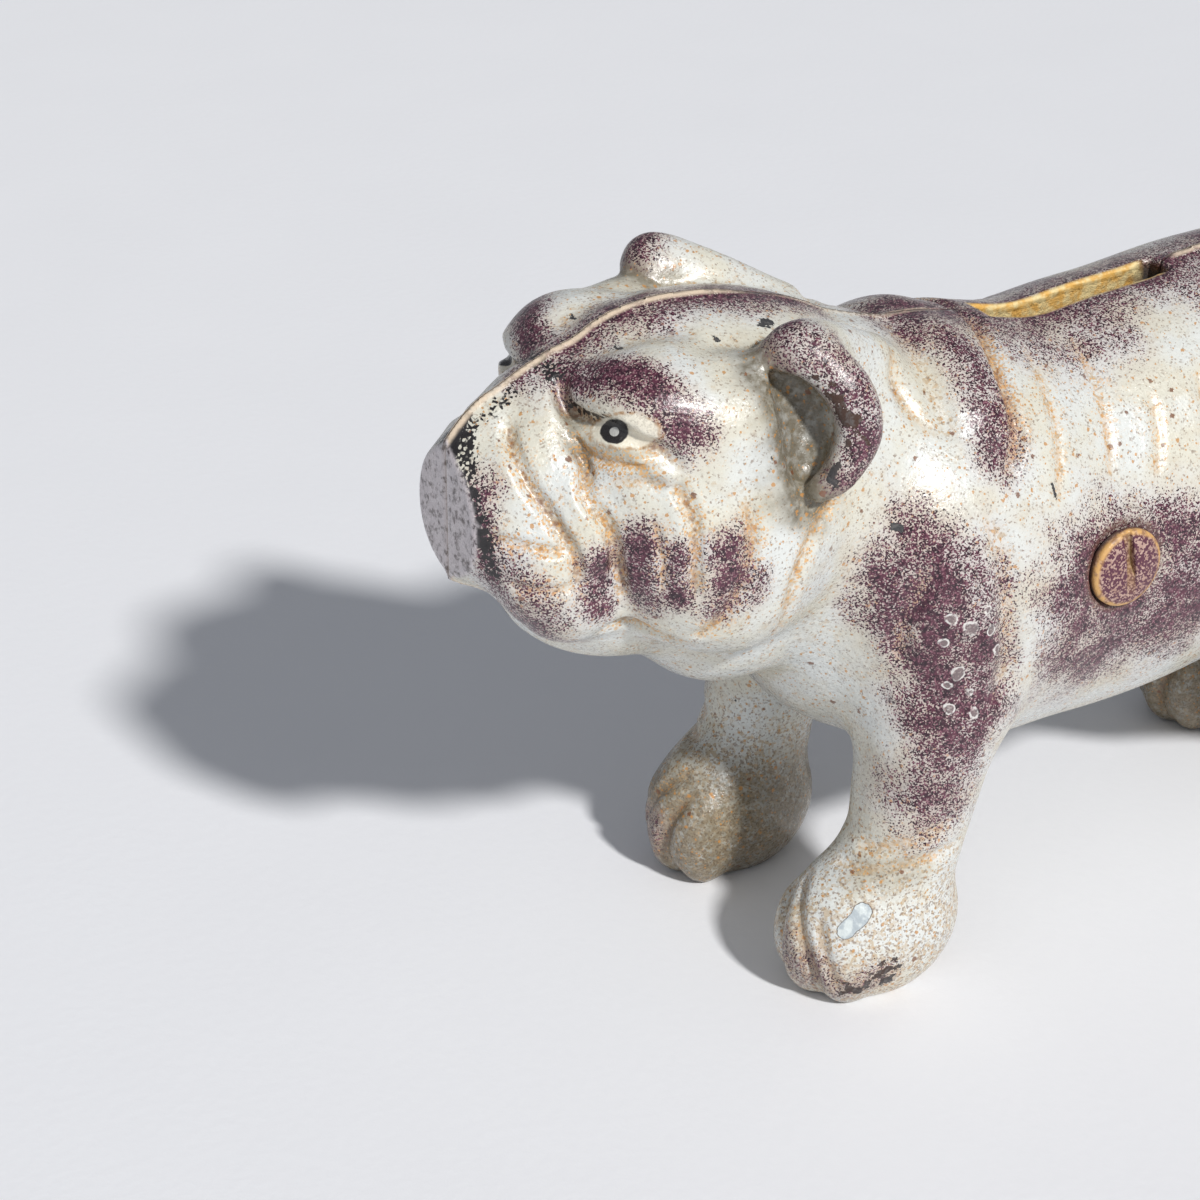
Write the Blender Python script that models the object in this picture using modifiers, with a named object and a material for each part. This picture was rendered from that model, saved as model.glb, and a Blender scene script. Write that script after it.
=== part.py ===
"""Standing bulldog still bank: two hollow cast-iron halves, a long clamp screw and its square nut.

The dog faces -X and its left side is -Y.  The origin is on the floor, under the middle of the bank.
The halves meet on the plane y = 0, where the coin slot is cut along the back.  Units are metres.
"""
import math

import bmesh
import bpy
from mathutils import Euler, Matrix, Vector

# Driving dimensions.
MM = 0.001
GAP = 0.3 * MM
WALL = 4.0 * MM
MUZZLE_X = -88.4 * MM
SLOT_CENTRE = Vector((16.0, 0.0, 92.0)) * MM
SLOT_LENGTH = 33.0 * MM
SLOT_WIDTH = 4.8 * MM
SLOT_DEPTH = 24.0 * MM
SCREW_AXIS = Vector((6.0, 0.0, 63.5)) * MM
HEAD_SEAT_Y = -28.0 * MM
HEAD_RADIUS = 6.0 * MM
HEAD_EDGE = 1.2 * MM
HEAD_CROWN = 1.3 * MM
DRIVE_SLOT_WIDTH = 1.5 * MM
DRIVE_SLOT_DEPTH = 1.3 * MM
DRIVE_SLOT_TURN = math.radians(-7)
SHANK_RADIUS = 3.1 * MM
SHANK_TIP_Y = 28.4 * MM
NUT_SEAT_Y = 23.2 * MM
NUT_WIDTH = 11.1 * MM
NUT_THICKNESS = 5.4 * MM
BOSS_INNER_Y = 18.0 * MM
LEFT_BOSS_RADIUS = 8.5 * MM
RIGHT_BOSS_RADIUS = 11.0 * MM
PEG_RADIUS = 2.0 * MM
PEG_LENGTH = 3.4 * MM
PEG_BOSS_RADIUS = 4.5 * MM
PEG_BOSS_LENGTH = 14.0 * MM
PEG_CENTRES = (Vector((-20.0, 0.0, 88.0)) * MM, Vector((78.0, 0.0, 50.0)) * MM)

# Mesh fineness.
SKIN_VOXEL = 1.5 * MM
SKIN_SMOOTHING = 6
SKIN_KEEP = 0.12
CORE_VOXEL = 3.0 * MM
CORE_KEEP = 0.3
ROUND_STEPS = 32

# Rounded forms of the dog in millimetres: centre, radii, tilt about Y in degrees.
MIDDLE_FORMS = (
    ((12, 0, 60.5), (46, 29, 33.2), 0),
    ((-10, 0, 62), (28, 30.5, 33), 0),
    ((34, 0, 63.5), (40, 28.3, 32), 0),
    ((52, 0, 66), (34, 27.5, 31.5), 0),
    ((64, 0, 67), (24, 25, 29), 0),
    ((-26, 0, 56), (15, 20, 19), 0),
    ((-48, 0, 84), (20, 24, 22.5), 0),
    ((-57.5, 0, 95.5), (15, 15.5, 12), 0),
    ((-78, 0, 83), (14.4, 12, 12.6), 0),
    ((-60, 0, 70), (20, 15, 14), 0),
    ((-46, 0, 62), (14, 16, 14), 0),
)
# The same for the dog's left side; each one has a twin on the right.
SIDE_FORMS = (
    ((-18, -18.5, 60), (14, 13, 25), -8),
    ((-28.5, -20.5, 10.5), (14, 10.3, 13), 0),
    ((60, -17, 56), (20, 13, 27), 14),
    ((71, -20.5, 9.5), (14, 10.3, 12), 0),
    ((-60, -12.5, 82), (12.5, 12.5, 16), 0),
    ((-53, -17, 76), (14, 10, 15), 0),
    ((-67.5, -12.5, 94.6), (3.6, 4, 3), -20),
    ((-44, -20, 97), (6, 5, 8), 0),
)
# Limbs in millimetres: points along the limb, each with its radius.
MIDDLE_LIMBS = (
    (((-38, 0, 80), 23), ((-12, 0, 68), 26.5)),
    (((-72, 0, 96), 6), ((-83, 0, 86), 7)),
    (((80, 0, 86), 6), ((83.6, 0, 80), 5), ((84, 0, 74), 4.2)),
)
SIDE_LIMBS = (
    (((-20, -21, 44), 10.8), ((-23.5, -21, 24), 8.8)),
    (((64, -18, 44), 13), ((75, -20.5, 28), 9), ((74, -21.3, 12), 8.6)),
    (((-69, -3, 99.2), 3.8), ((-66, -10.5, 99.6), 4.2), ((-60.5, -17.5, 95), 4)),
    (((-79, -4.5, 88), 6.2), ((-78, -8, 78), 8.2), ((-74.5, -9, 73), 8.3)),
    (
        ((-49, -17, 101.5), 3),
        ((-44.5, -20, 104.5), 3.8),
        ((-41, -25, 100.5), 3.8),
        ((-40, -26.2, 94.5), 3.8),
        ((-43.5, -26.2, 90), 3),
    ),
    (((-43, -19, 103.5), 3.8), ((-30, -13, 94), 5)),
)
TOE_RADII = (5.5, 4.0, 8.0)
TOE_HEIGHT = 8.0
FRONT_TOES = ((-35.5, -25), (-38, -20), (-36.5, -15))
HIND_TOES = ((64, -25), (61.5, -20), (63, -15))
# The sand core that leaves the hollow follows the trunk, the neck and the skull.
CORE_FORMS = MIDDLE_FORMS[:5] + (((-52, 0, 84), (19, 21, 19), 0),)
CORE_LIMBS = MIDDLE_LIMBS[:1]


def empty_scene():
    for old in list(bpy.data.objects):
        bpy.data.objects.remove(old, do_unlink=True)


def new_collection(name):
    collection = bpy.data.collections.new(name)
    bpy.context.scene.collection.children.link(collection)
    return collection


def new_object(name, bm, collection, is_cutter=False):
    mesh = bpy.data.meshes.new(name)
    bm.to_mesh(mesh)
    bm.free()
    obj = bpy.data.objects.new(name, mesh)
    collection.objects.link(obj)
    if is_cutter:
        obj.hide_render = True
        obj.display_type = "WIRE"
    return obj


def plain_material(name, colour, roughness, metallic):
    material = bpy.data.materials.new(name)
    material.use_nodes = True
    shader = material.node_tree.nodes["Principled BSDF"]
    shader.inputs["Base Color"].default_value = (*colour, 1.0)
    shader.inputs["Roughness"].default_value = roughness
    shader.inputs["Metallic"].default_value = metallic
    return material


# --- the dog's form -------------------------------------------------------------------------

def add_ellipsoid(bm, centre, radii, tilt, less=0.0):
    """A sphere stretched to the radii, in metres, with `less` taken off each radius."""
    size = [radius * MM - less for radius in radii]
    turn = Euler((0.0, math.radians(tilt), 0.0)).to_matrix().to_4x4()
    place = Matrix.Translation(Vector(centre) * MM) @ turn @ Matrix.Diagonal((*size, 1.0))
    bmesh.ops.create_icosphere(bm, subdivisions=4, radius=1.0, matrix=place)


def add_limb(bm, stations, less=0.0):
    """Overlapping balls joined by cones, from one station to the next."""
    for (start, start_radius), (end, end_radius) in zip(stations[:-1], stations[1:]):
        low = Vector(start) * MM
        high = Vector(end) * MM
        run = high - low
        turn = run.to_track_quat("Z", "Y").to_matrix().to_4x4()
        place = Matrix.Translation((low + high) / 2) @ turn
        bmesh.ops.create_cone(
            bm, cap_ends=True, segments=ROUND_STEPS, depth=run.length, matrix=place,
            radius1=start_radius * MM - less, radius2=end_radius * MM - less,
        )
        for point, radius in ((start, start_radius), (end, end_radius)):
            add_ellipsoid(bm, point, (radius, radius, radius), 0, less)


def twin(point, side):
    return (point[0], -side * point[1], point[2])


def skin_mesh():
    """Every form of the dog, on both sides, still as overlapping closed shapes."""
    bm = bmesh.new()
    for centre, radii, tilt in MIDDLE_FORMS:
        add_ellipsoid(bm, centre, radii, tilt)
    for stations in MIDDLE_LIMBS:
        add_limb(bm, stations)
    for side in (-1, 1):
        for centre, radii, tilt in SIDE_FORMS:
            add_ellipsoid(bm, twin(centre, side), radii, tilt)
        for stations in SIDE_LIMBS:
            add_limb(bm, [(twin(point, side), radius) for point, radius in stations])
        for toe_x, toe_y in FRONT_TOES + HIND_TOES:
            centre = twin((toe_x, toe_y, TOE_HEIGHT), side)
            add_ellipsoid(bm, centre, TOE_RADII, 0)
    return bm


def core_mesh():
    bm = bmesh.new()
    for centre, radii, tilt in CORE_FORMS:
        add_ellipsoid(bm, centre, radii, tilt, WALL)
    for stations in CORE_LIMBS:
        add_limb(bm, stations, WALL)
    return bm


def fuse_forms(obj, voxel, smoothing, keep):
    """One closed skin round overlapping shapes, smoothed and then thinned."""
    remesh = obj.modifiers.new("fuse", "REMESH")
    remesh.mode = "VOXEL"
    remesh.voxel_size = voxel
    soften = obj.modifiers.new("soften", "SMOOTH")
    soften.factor = 0.5
    soften.iterations = smoothing
    thin = obj.modifiers.new("thin", "DECIMATE")
    thin.ratio = keep


# --- shapes that are joined to the skin or cut from it ----------------------------------------

def box_mesh(low, high):
    bm = bmesh.new()
    low = Vector(low)
    high = Vector(high)
    size = high - low
    place = Matrix.Translation((low + high) / 2) @ Matrix.Diagonal((*size, 1.0))
    bmesh.ops.create_cube(bm, size=1.0, matrix=place)
    return bm


def rod_mesh(axis_point, start_y, end_y, radius):
    """A round rod along Y."""
    bm = bmesh.new()
    middle = Vector((axis_point.x, (start_y + end_y) / 2, axis_point.z))
    place = Matrix.Translation(middle) @ Matrix.Rotation(math.pi / 2, 4, "X")
    bmesh.ops.create_cone(
        bm, cap_ends=True, segments=ROUND_STEPS, depth=abs(end_y - start_y), matrix=place,
        radius1=radius, radius2=radius,
    )
    return bm


def boolean(obj, tool, operation):
    step = obj.modifiers.new(tool.name, "BOOLEAN")
    step.operation = operation
    step.object = tool
    step.solver = "EXACT"


def make_casting(name, side, parts, cutters, material):
    """One hollow half.  side is -1 for the dog's left half and +1 for its right half."""
    obj = new_object(name, skin_mesh(), parts)
    fuse_forms(obj, SKIN_VOXEL, SKIN_SMOOTHING, SKIN_KEEP)

    def tool(label, bm, operation):
        cutter = new_object(f"{name}_{label}", bm, cutters, is_cutter=True)
        boolean(obj, cutter, operation)
        return cutter

    core = tool("core", core_mesh(), "DIFFERENCE")
    fuse_forms(core, CORE_VOXEL, 2, CORE_KEEP)

    seat_y = HEAD_SEAT_Y if side < 0 else NUT_SEAT_Y + 3 * MM
    boss_radius = LEFT_BOSS_RADIUS if side < 0 else RIGHT_BOSS_RADIUS
    boss = rod_mesh(SCREW_AXIS, side * BOSS_INNER_Y, seat_y, boss_radius)
    tool("screw_boss", boss, "UNION")
    for number, centre in enumerate(PEG_CENTRES):
        boss = rod_mesh(centre, 0.0, side * PEG_BOSS_LENGTH, PEG_BOSS_RADIUS)
        tool(f"peg_boss_{number}", boss, "UNION")

    half_slot = Vector((SLOT_LENGTH / 2, SLOT_WIDTH / 2, SLOT_DEPTH / 2))
    tool("coin_slot", box_mesh(SLOT_CENTRE - half_slot, SLOT_CENTRE + half_slot), "DIFFERENCE")

    joint_face = side * GAP / 2
    far_y = side * 60 * MM
    low = (MUZZLE_X, min(joint_face, far_y), 0.0)
    high = (-MUZZLE_X, max(joint_face, far_y), 150 * MM)
    tool("trim", box_mesh(low, high), "INTERSECT")

    tool("screw_hole", rod_mesh(SCREW_AXIS, 0.0, side * 40 * MM, SHANK_RADIUS + GAP), "DIFFERENCE")
    if side < 0:
        seat = rod_mesh(SCREW_AXIS, HEAD_SEAT_Y, -40 * MM, HEAD_RADIUS + 2 * GAP)
        tool("head_seat", seat, "DIFFERENCE")
    else:
        half = NUT_WIDTH / 2 + GAP
        low = (SCREW_AXIS.x - half, NUT_SEAT_Y, SCREW_AXIS.z - half)
        high = (SCREW_AXIS.x + half, 40 * MM, SCREW_AXIS.z + half)
        tool("nut_pocket", box_mesh(low, high), "DIFFERENCE")
    for number, centre in enumerate(PEG_CENTRES):
        if side < 0:
            peg = rod_mesh(centre, -2 * MM, PEG_LENGTH, PEG_RADIUS)
            tool(f"peg_{number}", peg, "UNION")
        else:
            socket = rod_mesh(centre, -MM, PEG_LENGTH + 2 * GAP, PEG_RADIUS + GAP)
            tool(f"socket_{number}", socket, "DIFFERENCE")
    obj.data.materials.append(material)
    return obj


# --- screw and nut ----------------------------------------------------------------------------

def make_clamp_screw(parts, cutters, material):
    """A slotted round-head screw, turned about its own axis, with its head on the left."""
    under_head = HEAD_SEAT_Y - GAP
    length = SHANK_TIP_Y - under_head
    edge_top = HEAD_EDGE
    crown_rise = HEAD_CROWN
    profile = [(0.0, edge_top + crown_rise)]
    arc_steps = 6
    for step in range(1, arc_steps + 1):
        angle = math.pi / 2 * step / arc_steps
        profile.append((HEAD_RADIUS * math.sin(angle), edge_top + crown_rise * math.cos(angle)))
    chamfer = 0.8 * MM
    profile += [
        (HEAD_RADIUS, 0.0),
        (SHANK_RADIUS, 0.0),
        (SHANK_RADIUS, chamfer - length),
        (SHANK_RADIUS - chamfer, -length),
        (0.0, -length),
    ]
    bm = bmesh.new()
    points = [bm.verts.new((radius, 0.0, height)) for radius, height in profile]
    for first, second in zip(points[:-1], points[1:]):
        bm.edges.new((first, second))
    obj = new_object("clamp_screw", bm, parts)
    turned = obj.modifiers.new("turned", "SCREW")
    turned.axis = "Z"
    turned.steps = ROUND_STEPS
    turned.render_steps = ROUND_STEPS
    turned.use_merge_vertices = True
    turned.merge_threshold = 0.00001
    obj.rotation_euler = (math.pi / 2, 0.0, 0.0)
    obj.location = Vector((SCREW_AXIS.x, under_head, SCREW_AXIS.z))

    half = Vector((DRIVE_SLOT_WIDTH / 2, DRIVE_SLOT_DEPTH, HEAD_RADIUS * 1.2))
    slot = new_object("clamp_screw_drive_slot", box_mesh(-half, half), cutters, is_cutter=True)
    slot.location = Vector((SCREW_AXIS.x, under_head - HEAD_EDGE - HEAD_CROWN, SCREW_AXIS.z))
    slot.rotation_euler = (0.0, DRIVE_SLOT_TURN, 0.0)
    boolean(obj, slot, "DIFFERENCE")
    obj.data.materials.append(material)
    return obj


def make_square_nut(parts, cutters, material):
    """A square nut, chamfered on its outer corners, captured in the right half's pocket."""
    half = NUT_WIDTH / 2
    seat = NUT_SEAT_Y + GAP
    low = (-half, -NUT_THICKNESS / 2, -half)
    high = (half, NUT_THICKNESS / 2, half)
    obj = new_object("square_nut", box_mesh(low, high), parts)
    obj.location = Vector((SCREW_AXIS.x, seat + NUT_THICKNESS / 2, SCREW_AXIS.z))
    rounding = obj.modifiers.new("rounding", "BEVEL")
    rounding.width = 0.5 * MM
    rounding.segments = 1
    hole_axis = Vector((SCREW_AXIS.x, 0.0, SCREW_AXIS.z))
    hole = rod_mesh(hole_axis, NUT_SEAT_Y - MM, NUT_SEAT_Y + NUT_THICKNESS + 2 * MM, SHANK_RADIUS + GAP)
    boolean(obj, new_object("square_nut_hole", hole, cutters, is_cutter=True), "DIFFERENCE")
    obj.data.materials.append(material)
    return obj


def main():
    empty_scene()
    parts = new_collection("bulldog_still_bank")
    cutters = new_collection("bulldog_still_bank_cutters")
    enamel = plain_material("cream_enamel", (0.72, 0.71, 0.62), 0.35, 0.0)
    screw_paint = plain_material("plum_screw_paint", (0.20, 0.11, 0.14), 0.4, 0.3)
    nut_steel = plain_material("nut_steel", (0.30, 0.27, 0.24), 0.5, 0.9)
    make_casting("left_casting", -1, parts, cutters, enamel)
    make_casting("right_casting", 1, parts, cutters, enamel)
    make_clamp_screw(parts, cutters, screw_paint)
    make_square_nut(parts, cutters, nut_steel)
    for obj in parts.objects:
        obj.data.shade_smooth()
        obj.data.set_sharp_from_angle(angle=math.radians(40))


main()
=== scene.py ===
"""Looks of the bulldog still bank: two painted iron halves, their clamp screw and its square nut.

The dog's forms are the CAD model's with some filling, in millimetres, blended softly in a block of
space that holds the distance to the surface.  Folds, ears and toes are then worked into that block,
the hollow and the fittings are cut from it, and the surface is turned into a mesh.
The dog faces -X and its left side is -Y.  What is listed for the left side has a twin on the right.
"""
import itertools
import math
from functools import partialmethod

import bpy
import numpy as np
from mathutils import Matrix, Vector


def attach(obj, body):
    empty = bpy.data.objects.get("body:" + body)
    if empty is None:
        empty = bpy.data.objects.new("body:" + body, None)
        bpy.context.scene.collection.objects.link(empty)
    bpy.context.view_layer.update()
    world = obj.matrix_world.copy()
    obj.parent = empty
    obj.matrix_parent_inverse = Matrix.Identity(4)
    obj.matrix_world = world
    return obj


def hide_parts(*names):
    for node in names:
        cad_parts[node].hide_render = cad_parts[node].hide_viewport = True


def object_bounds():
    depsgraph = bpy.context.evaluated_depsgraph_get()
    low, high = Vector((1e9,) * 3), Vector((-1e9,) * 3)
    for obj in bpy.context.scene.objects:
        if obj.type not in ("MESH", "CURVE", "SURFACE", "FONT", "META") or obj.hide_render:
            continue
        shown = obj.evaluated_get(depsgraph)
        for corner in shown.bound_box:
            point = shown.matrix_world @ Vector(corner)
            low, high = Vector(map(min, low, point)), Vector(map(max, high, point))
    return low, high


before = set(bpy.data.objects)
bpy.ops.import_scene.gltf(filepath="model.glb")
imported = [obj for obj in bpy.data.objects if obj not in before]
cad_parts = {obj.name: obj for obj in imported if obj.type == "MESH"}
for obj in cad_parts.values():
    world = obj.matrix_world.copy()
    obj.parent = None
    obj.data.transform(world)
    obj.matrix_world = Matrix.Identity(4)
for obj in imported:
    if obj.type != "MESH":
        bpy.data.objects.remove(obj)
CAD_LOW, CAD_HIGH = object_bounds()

import openvdb
from mathutils import Euler, Vector

MM = 0.001

# Fineness, in millimetres and triangles.
CLAY_STEP = 0.5
FITTING_STEP = 0.2
# How often a block is blurred before hollows and edges are told apart in it.
BEND_PASSES = 9
SCREW_BEND_PASSES = 5
NUT_BEND_PASSES = 4
MOST_TRIANGLES = 190000
MOST_FITTING_TRIANGLES = 60000

# --- sizes that the CAD model sets, in millimetres ---------------------------------------------

WALL = 4.0
MUZZLE_X = -88.4
SLOT_CENTRE = (16.0, 0.0, 92.0)
SLOT_SIZE = (33.0, 4.8, 24.0)
SCREW_X = 6.0
SCREW_Z = 63.5
HEAD_SEAT_Y = -28.0
HEAD_RADIUS = 6.0
HEAD_EDGE = 1.2
HEAD_CROWN = 1.3
# Width, depth.
DRIVE_SLOT = (1.5, 1.3)
DRIVE_SLOT_TURN = math.radians(-7)
SHANK_RADIUS = 3.1
SHANK_TIP_Y = 28.4
NUT_SEAT_Y = 23.2
NUT_WIDTH = 11.1
NUT_THICKNESS = 5.4
CLEARANCE = 0.3
BOSS_INNER_Y = 18.0
# By side: -1 is the left half, 1 the right.
BOSS_RADII = {-1: 8.5, 1: 11.0}
PEG_RADIUS = 2.0
PEG_LENGTH = 3.4
# Radius, length from the seam.
PEG_BOSS = (4.5, 14.0)
# Each peg's x and z.
PEG_CENTRES = ((-20.0, 88.0), (78.0, 50.0))
NUT_BOSS_Y = NUT_SEAT_Y + 3
# Where cuts begin inside the seam and end outside the flank.
PAST_SEAM = -5
PAST_FLANK = 45

# --- the visual model's own sizes, in millimetres -------------------------------------------------

# The screw's thread, where its plain neck turns into thread, from under the head, and its tip.
THREAD_PITCH = 1.25
THREAD_DEPTH = 0.55
NECK = (8.0, 9.5)
TIP_BEVEL = 0.9
# How far each half stays from the middle plane.  The CAD model leaves more.
JOINT_GAP = 0.02
# How near a point must be to a flat to count as on it.
FLAT_TOLERANCE = 0.01
# How near the joint, and how near the dog's surface, the joint's rim is, in cubes.
RIM_REACH = 0.52
RIM_DEPTH = 0.75
# The block of space that holds the left half.  The joint lies midway between two layers of cubes.
BLOCK_WIDTH = (math.ceil(36 / CLAY_STEP) + 0.5) * CLAY_STEP
BLOCK_LOW = (-97, -JOINT_GAP - BLOCK_WIDTH, -3)
BLOCK_HIGH = (97, 5, 114)

# Forms: centre, radii, tilt about Y in degrees.
MIDDLE_FORMS = (
    ((12, 0, 60.5), (46, 29, 33.2), 0),
    ((-10, 0, 62), (28, 30.5, 33), 0),
    ((34, 0, 63.5), (40, 28.3, 32), 0),
    ((52, 0, 66), (34, 27.5, 31.5), 0),
    ((64, 0, 67), (24, 25, 29), 0),
    ((-26, 0, 56), (15, 20, 19), 0),
    ((-48, 0, 84), (20, 24, 22.5), 0),
    ((-57.5, 0, 95.5), (15, 15.5, 12), 0),
    ((-78, 0, 83), (14.4, 12, 12.6), 0),
    ((-60, 0, 70), (20, 15, 14), 0),
    ((-46, 0, 62), (14, 16, 14), 0),
)
SIDE_FORMS = (
    ((-18, -18.5, 60), (14, 13, 25), -8),
    ((-28.5, -20.5, 10.5), (14, 10.3, 13), 0),
    ((60, -17, 56), (20, 13, 27), 14),
    ((71, -20.5, 9.5), (14, 10.3, 12), 0),
    ((-60, -12.5, 82), (12.5, 12.5, 16), 0),
    ((-53, -17, 76), (14, 10, 15), 0),
    ((-67.5, -12.5, 94.6), (3.6, 4, 3), -20),
    ((-44, -20, 97), (6, 5, 8), 0),
)
# Limbs: points along the limb, each with its radius.
MIDDLE_LIMBS = (
    (((-38, 0, 80), 23), ((-12, 0, 68), 26.5)),
    (((-72, 0, 96), 6), ((-83, 0, 86), 7)),
    (((80, 0, 86), 6), ((83.6, 0, 80), 5), ((84, 0, 74), 4.2)),
)
EAR_RIM = (
    ((-49, -17, 101.5), 3), ((-44.5, -20, 104.5), 3.8), ((-41, -25, 100.5), 3.8),
    ((-40, -26.2, 94.5), 3.8), ((-43.5, -26.2, 90), 3),
)
SIDE_LIMBS = (
    (((-20, -21, 44), 10.8), ((-23.5, -21, 24), 8.8)),
    (((64, -18, 44), 13), ((75, -20.5, 28), 9), ((74, -21.3, 12), 8.6)),
    (((-69, -3, 99.2), 3.8), ((-66, -10.5, 99.6), 4.2), ((-60.5, -17.5, 95), 4)),
    (((-79, -4.5, 88), 6.2), ((-78, -8, 78), 8.2), ((-74.5, -9, 73), 8.3)),
    EAR_RIM,
    (((-43, -19, 103.5), 3.8), ((-30, -13, 93), 4)),
)
TOE_RADII = (5.5, 4.0, 8.0)
TOE_HEIGHT = 8.0
FRONT_TOES = ((-35.5, -25), (-38, -20), (-36.5, -15))
HIND_TOES = ((64, -25), (61.5, -20), (63, -15))
HIND_PAW_SHIFT = 99.5
# Fuller modelling than the plain CAD forms: the muzzle's flat front, brows, temples, ears, lids.
NOSE_RIDGE = (
    ((-72, 0, 98), 4), ((-79, 0, 96.2), 3.4), ((-81.6, 0, 95), 3.3),
    ((-83.4, 0, 92.9), 3.3), ((-85.2, 0, 89.4), 3.2),
)
SIDE_FILLING = (
    ((-62, -11, 98.2), (10, 10.5, 8), 0),
    ((-56, -16.5, 95), (9, 8, 8.5), 0),
    ((-67.5, -13.5, 88), (5.2, 6.4, 7.5), 0),
)
SIDE_FILLING_LIMBS = (
    (((-75, -2.5, 97), 2.8), ((-76.2, -5.5, 95), 3), ((-76, -10, 89.8), 3.2), ((-74.8, -13.6, 85.5), 3.2),
     ((-74.3, -15.3, 81), 2.8)),
    (((-52.5, -16, 101), 3.5), ((-52.5, -19.5, 97), 4), ((-51.5, -21.5, 91.5), 4), ((-50, -22.5, 87), 3.5)),
    (((-60.5, -17.5, 95), 4), ((-58, -21, 90), 2.6)),
    (((-44.5, -20, 105), 3.4), ((-38, -16.5, 103.2), 3.6), ((-27, -11, 96.6), 4.0)),
    (((-69.5, -10, 94.3), 2.6), ((-66.5, -16.5, 93.8), 2.6), ((-64, -20, 92.3), 2)),
)
# How widely edges round off, in millimetres: toes, the ear's cup and edge, dried drips, the sand
# core, cast bosses, the coin slot, seats, pegs and the bore.
TOE_SOFTNESS = 2.0
CUP_SOFTNESS = 2.0
EAR_EDGE_SOFTNESS = 1.2
DRIP_SOFTNESS = 0.6
CORE_SOFTNESS = 6.0
CAST_SOFTNESS = 1.0
SLOT_SOFTNESS = 0.8
SEAT_SOFTNESS = 0.5
PEG_SOFTNESS = 0.3
BORE_SOFTNESS = 0.2
# The sand core that leaves the hollow: these forms, less the wall.
CORE_FORMS = MIDDLE_FORMS[:5] + (((-52, 0, 84), (19, 21, 19), 0),)
CORE_LIMBS = MIDDLE_LIMBS[:1]

# Modelling worked over those forms.
# The cup of the ear, cut out in front of its rolled rim, and the rim's outer edge.
EAR_CUP = (((-47.5, -19.5, 102.5), 1.8), ((-45.4, -23.8, 97.5), 3.9), ((-45.7, -25.5, 91), 3.2))
EAR_EDGE = (
    ((-47, -18.5, 104.4), 2.2), ((-43.8, -21.6, 104.8), 3.0), ((-40.4, -26, 100.6), 3.2),
    ((-39.2, -27.4, 94.8), 3.0), ((-42.3, -27.6, 89.6), 2.6), ((-45.2, -27.2, 87.6), 1.8),
)
FOLD_STRENGTH = 1.4
# The ridge of flash that the seam left.
FLASH_HEIGHT = 0.85
FLASH_WIDTH = 0.75
# Folds: points near the surface, half-width, depth (less than nothing is a ridge), share of rust.
FACE_FOLDS = (
    (((-80.2, -3.9, 96.2), (-81.5, -6.3, 94.5), (-81.3, -10.5, 90.3), (-80, -12.7, 87.5),
      (-78.9, -15.1, 84.3), (-77.8, -16.8, 81.3), (-77.2, -17.6, 77.6), (-76.2, -17.4, 72.8)), 0.9, 1.1, 0.6),
    (((-72.6, -9, 92.3), (-71.9, -11.7, 89.6), (-72.1, -14.8, 86), (-71.9, -17.1, 82),
      (-71.4, -18, 78.3), (-70.8, -18, 73.1)), 0.9, 1.1, 0.75),
    (((-65, -21.5, 91), (-63.5, -24, 86.5), (-63.5, -25, 78.5), (-63.5, -24.5, 74.5)), 0.9, 1.0, 0.7),
    (((-67.5, -21, 86), (-67.3, -22.5, 81), (-67, -22.3, 75.5)), 0.6, 0.5, 0.9),
    (((-56, -25, 87.5), (-55.5, -26.5, 83.5), (-57, -27, 76), (-60, -24.5, 69.5),
      (-62, -22.5, 67)), 1.0, 0.9, 0.8),
    (((-36, -26, 100), (-36.5, -27, 94), (-38, -26.5, 88), (-41.5, -26, 84), (-45, -26, 81),
      (-48.5, -26.5, 74), (-49, -22, 64)), 1.0, 0.7, 0.65),
    (((-87.4, -9.6, 83.4), (-86.3, -11.1, 83), (-83.4, -14.2, 82.6), (-80.4, -16, 82.1),
      (-77.7, -16.6, 81.7)), 0.8, 0.8, 0.7),
    (((-86.1, -12.6, 76.6), (-84, -15.1, 76.2), (-80.5, -17, 76.2), (-77.3, -17.6, 76.6)), 0.8, 0.8, 0.7),
    (((-72.7, -4.2, 101.5), (-73.2, -6.1, 98.4), (-71.5, -10.5, 97.5), (-68.8, -15, 98),
      (-66.6, -18, 96), (-63.6, -21.6, 92.4)), 1.1, 1.9, 0.2),
    (((-71, -9.4, 95.2), (-71.1, -12.3, 93.6), (-69.9, -15.2, 93), (-67.6, -17.6, 93.2),
      (-65.6, -19.8, 93.8)), 0.6, 0.6, 1.0),
    (((-70, -15.5, 90), (-67.5, -19, 90.8), (-65, -21.2, 91)), 0.9, 0.35, 0.3),
    (((-73, -14, 67), (-66.5, -17, 67.5), (-60.5, -20.5, 64.5)), 1.2, 0.7, 0.5),
    (((-70, -5, 103.5), (-62, -7, 106), (-53, -8, 107)), 2.5, 0.5, 0.0),
)
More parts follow.
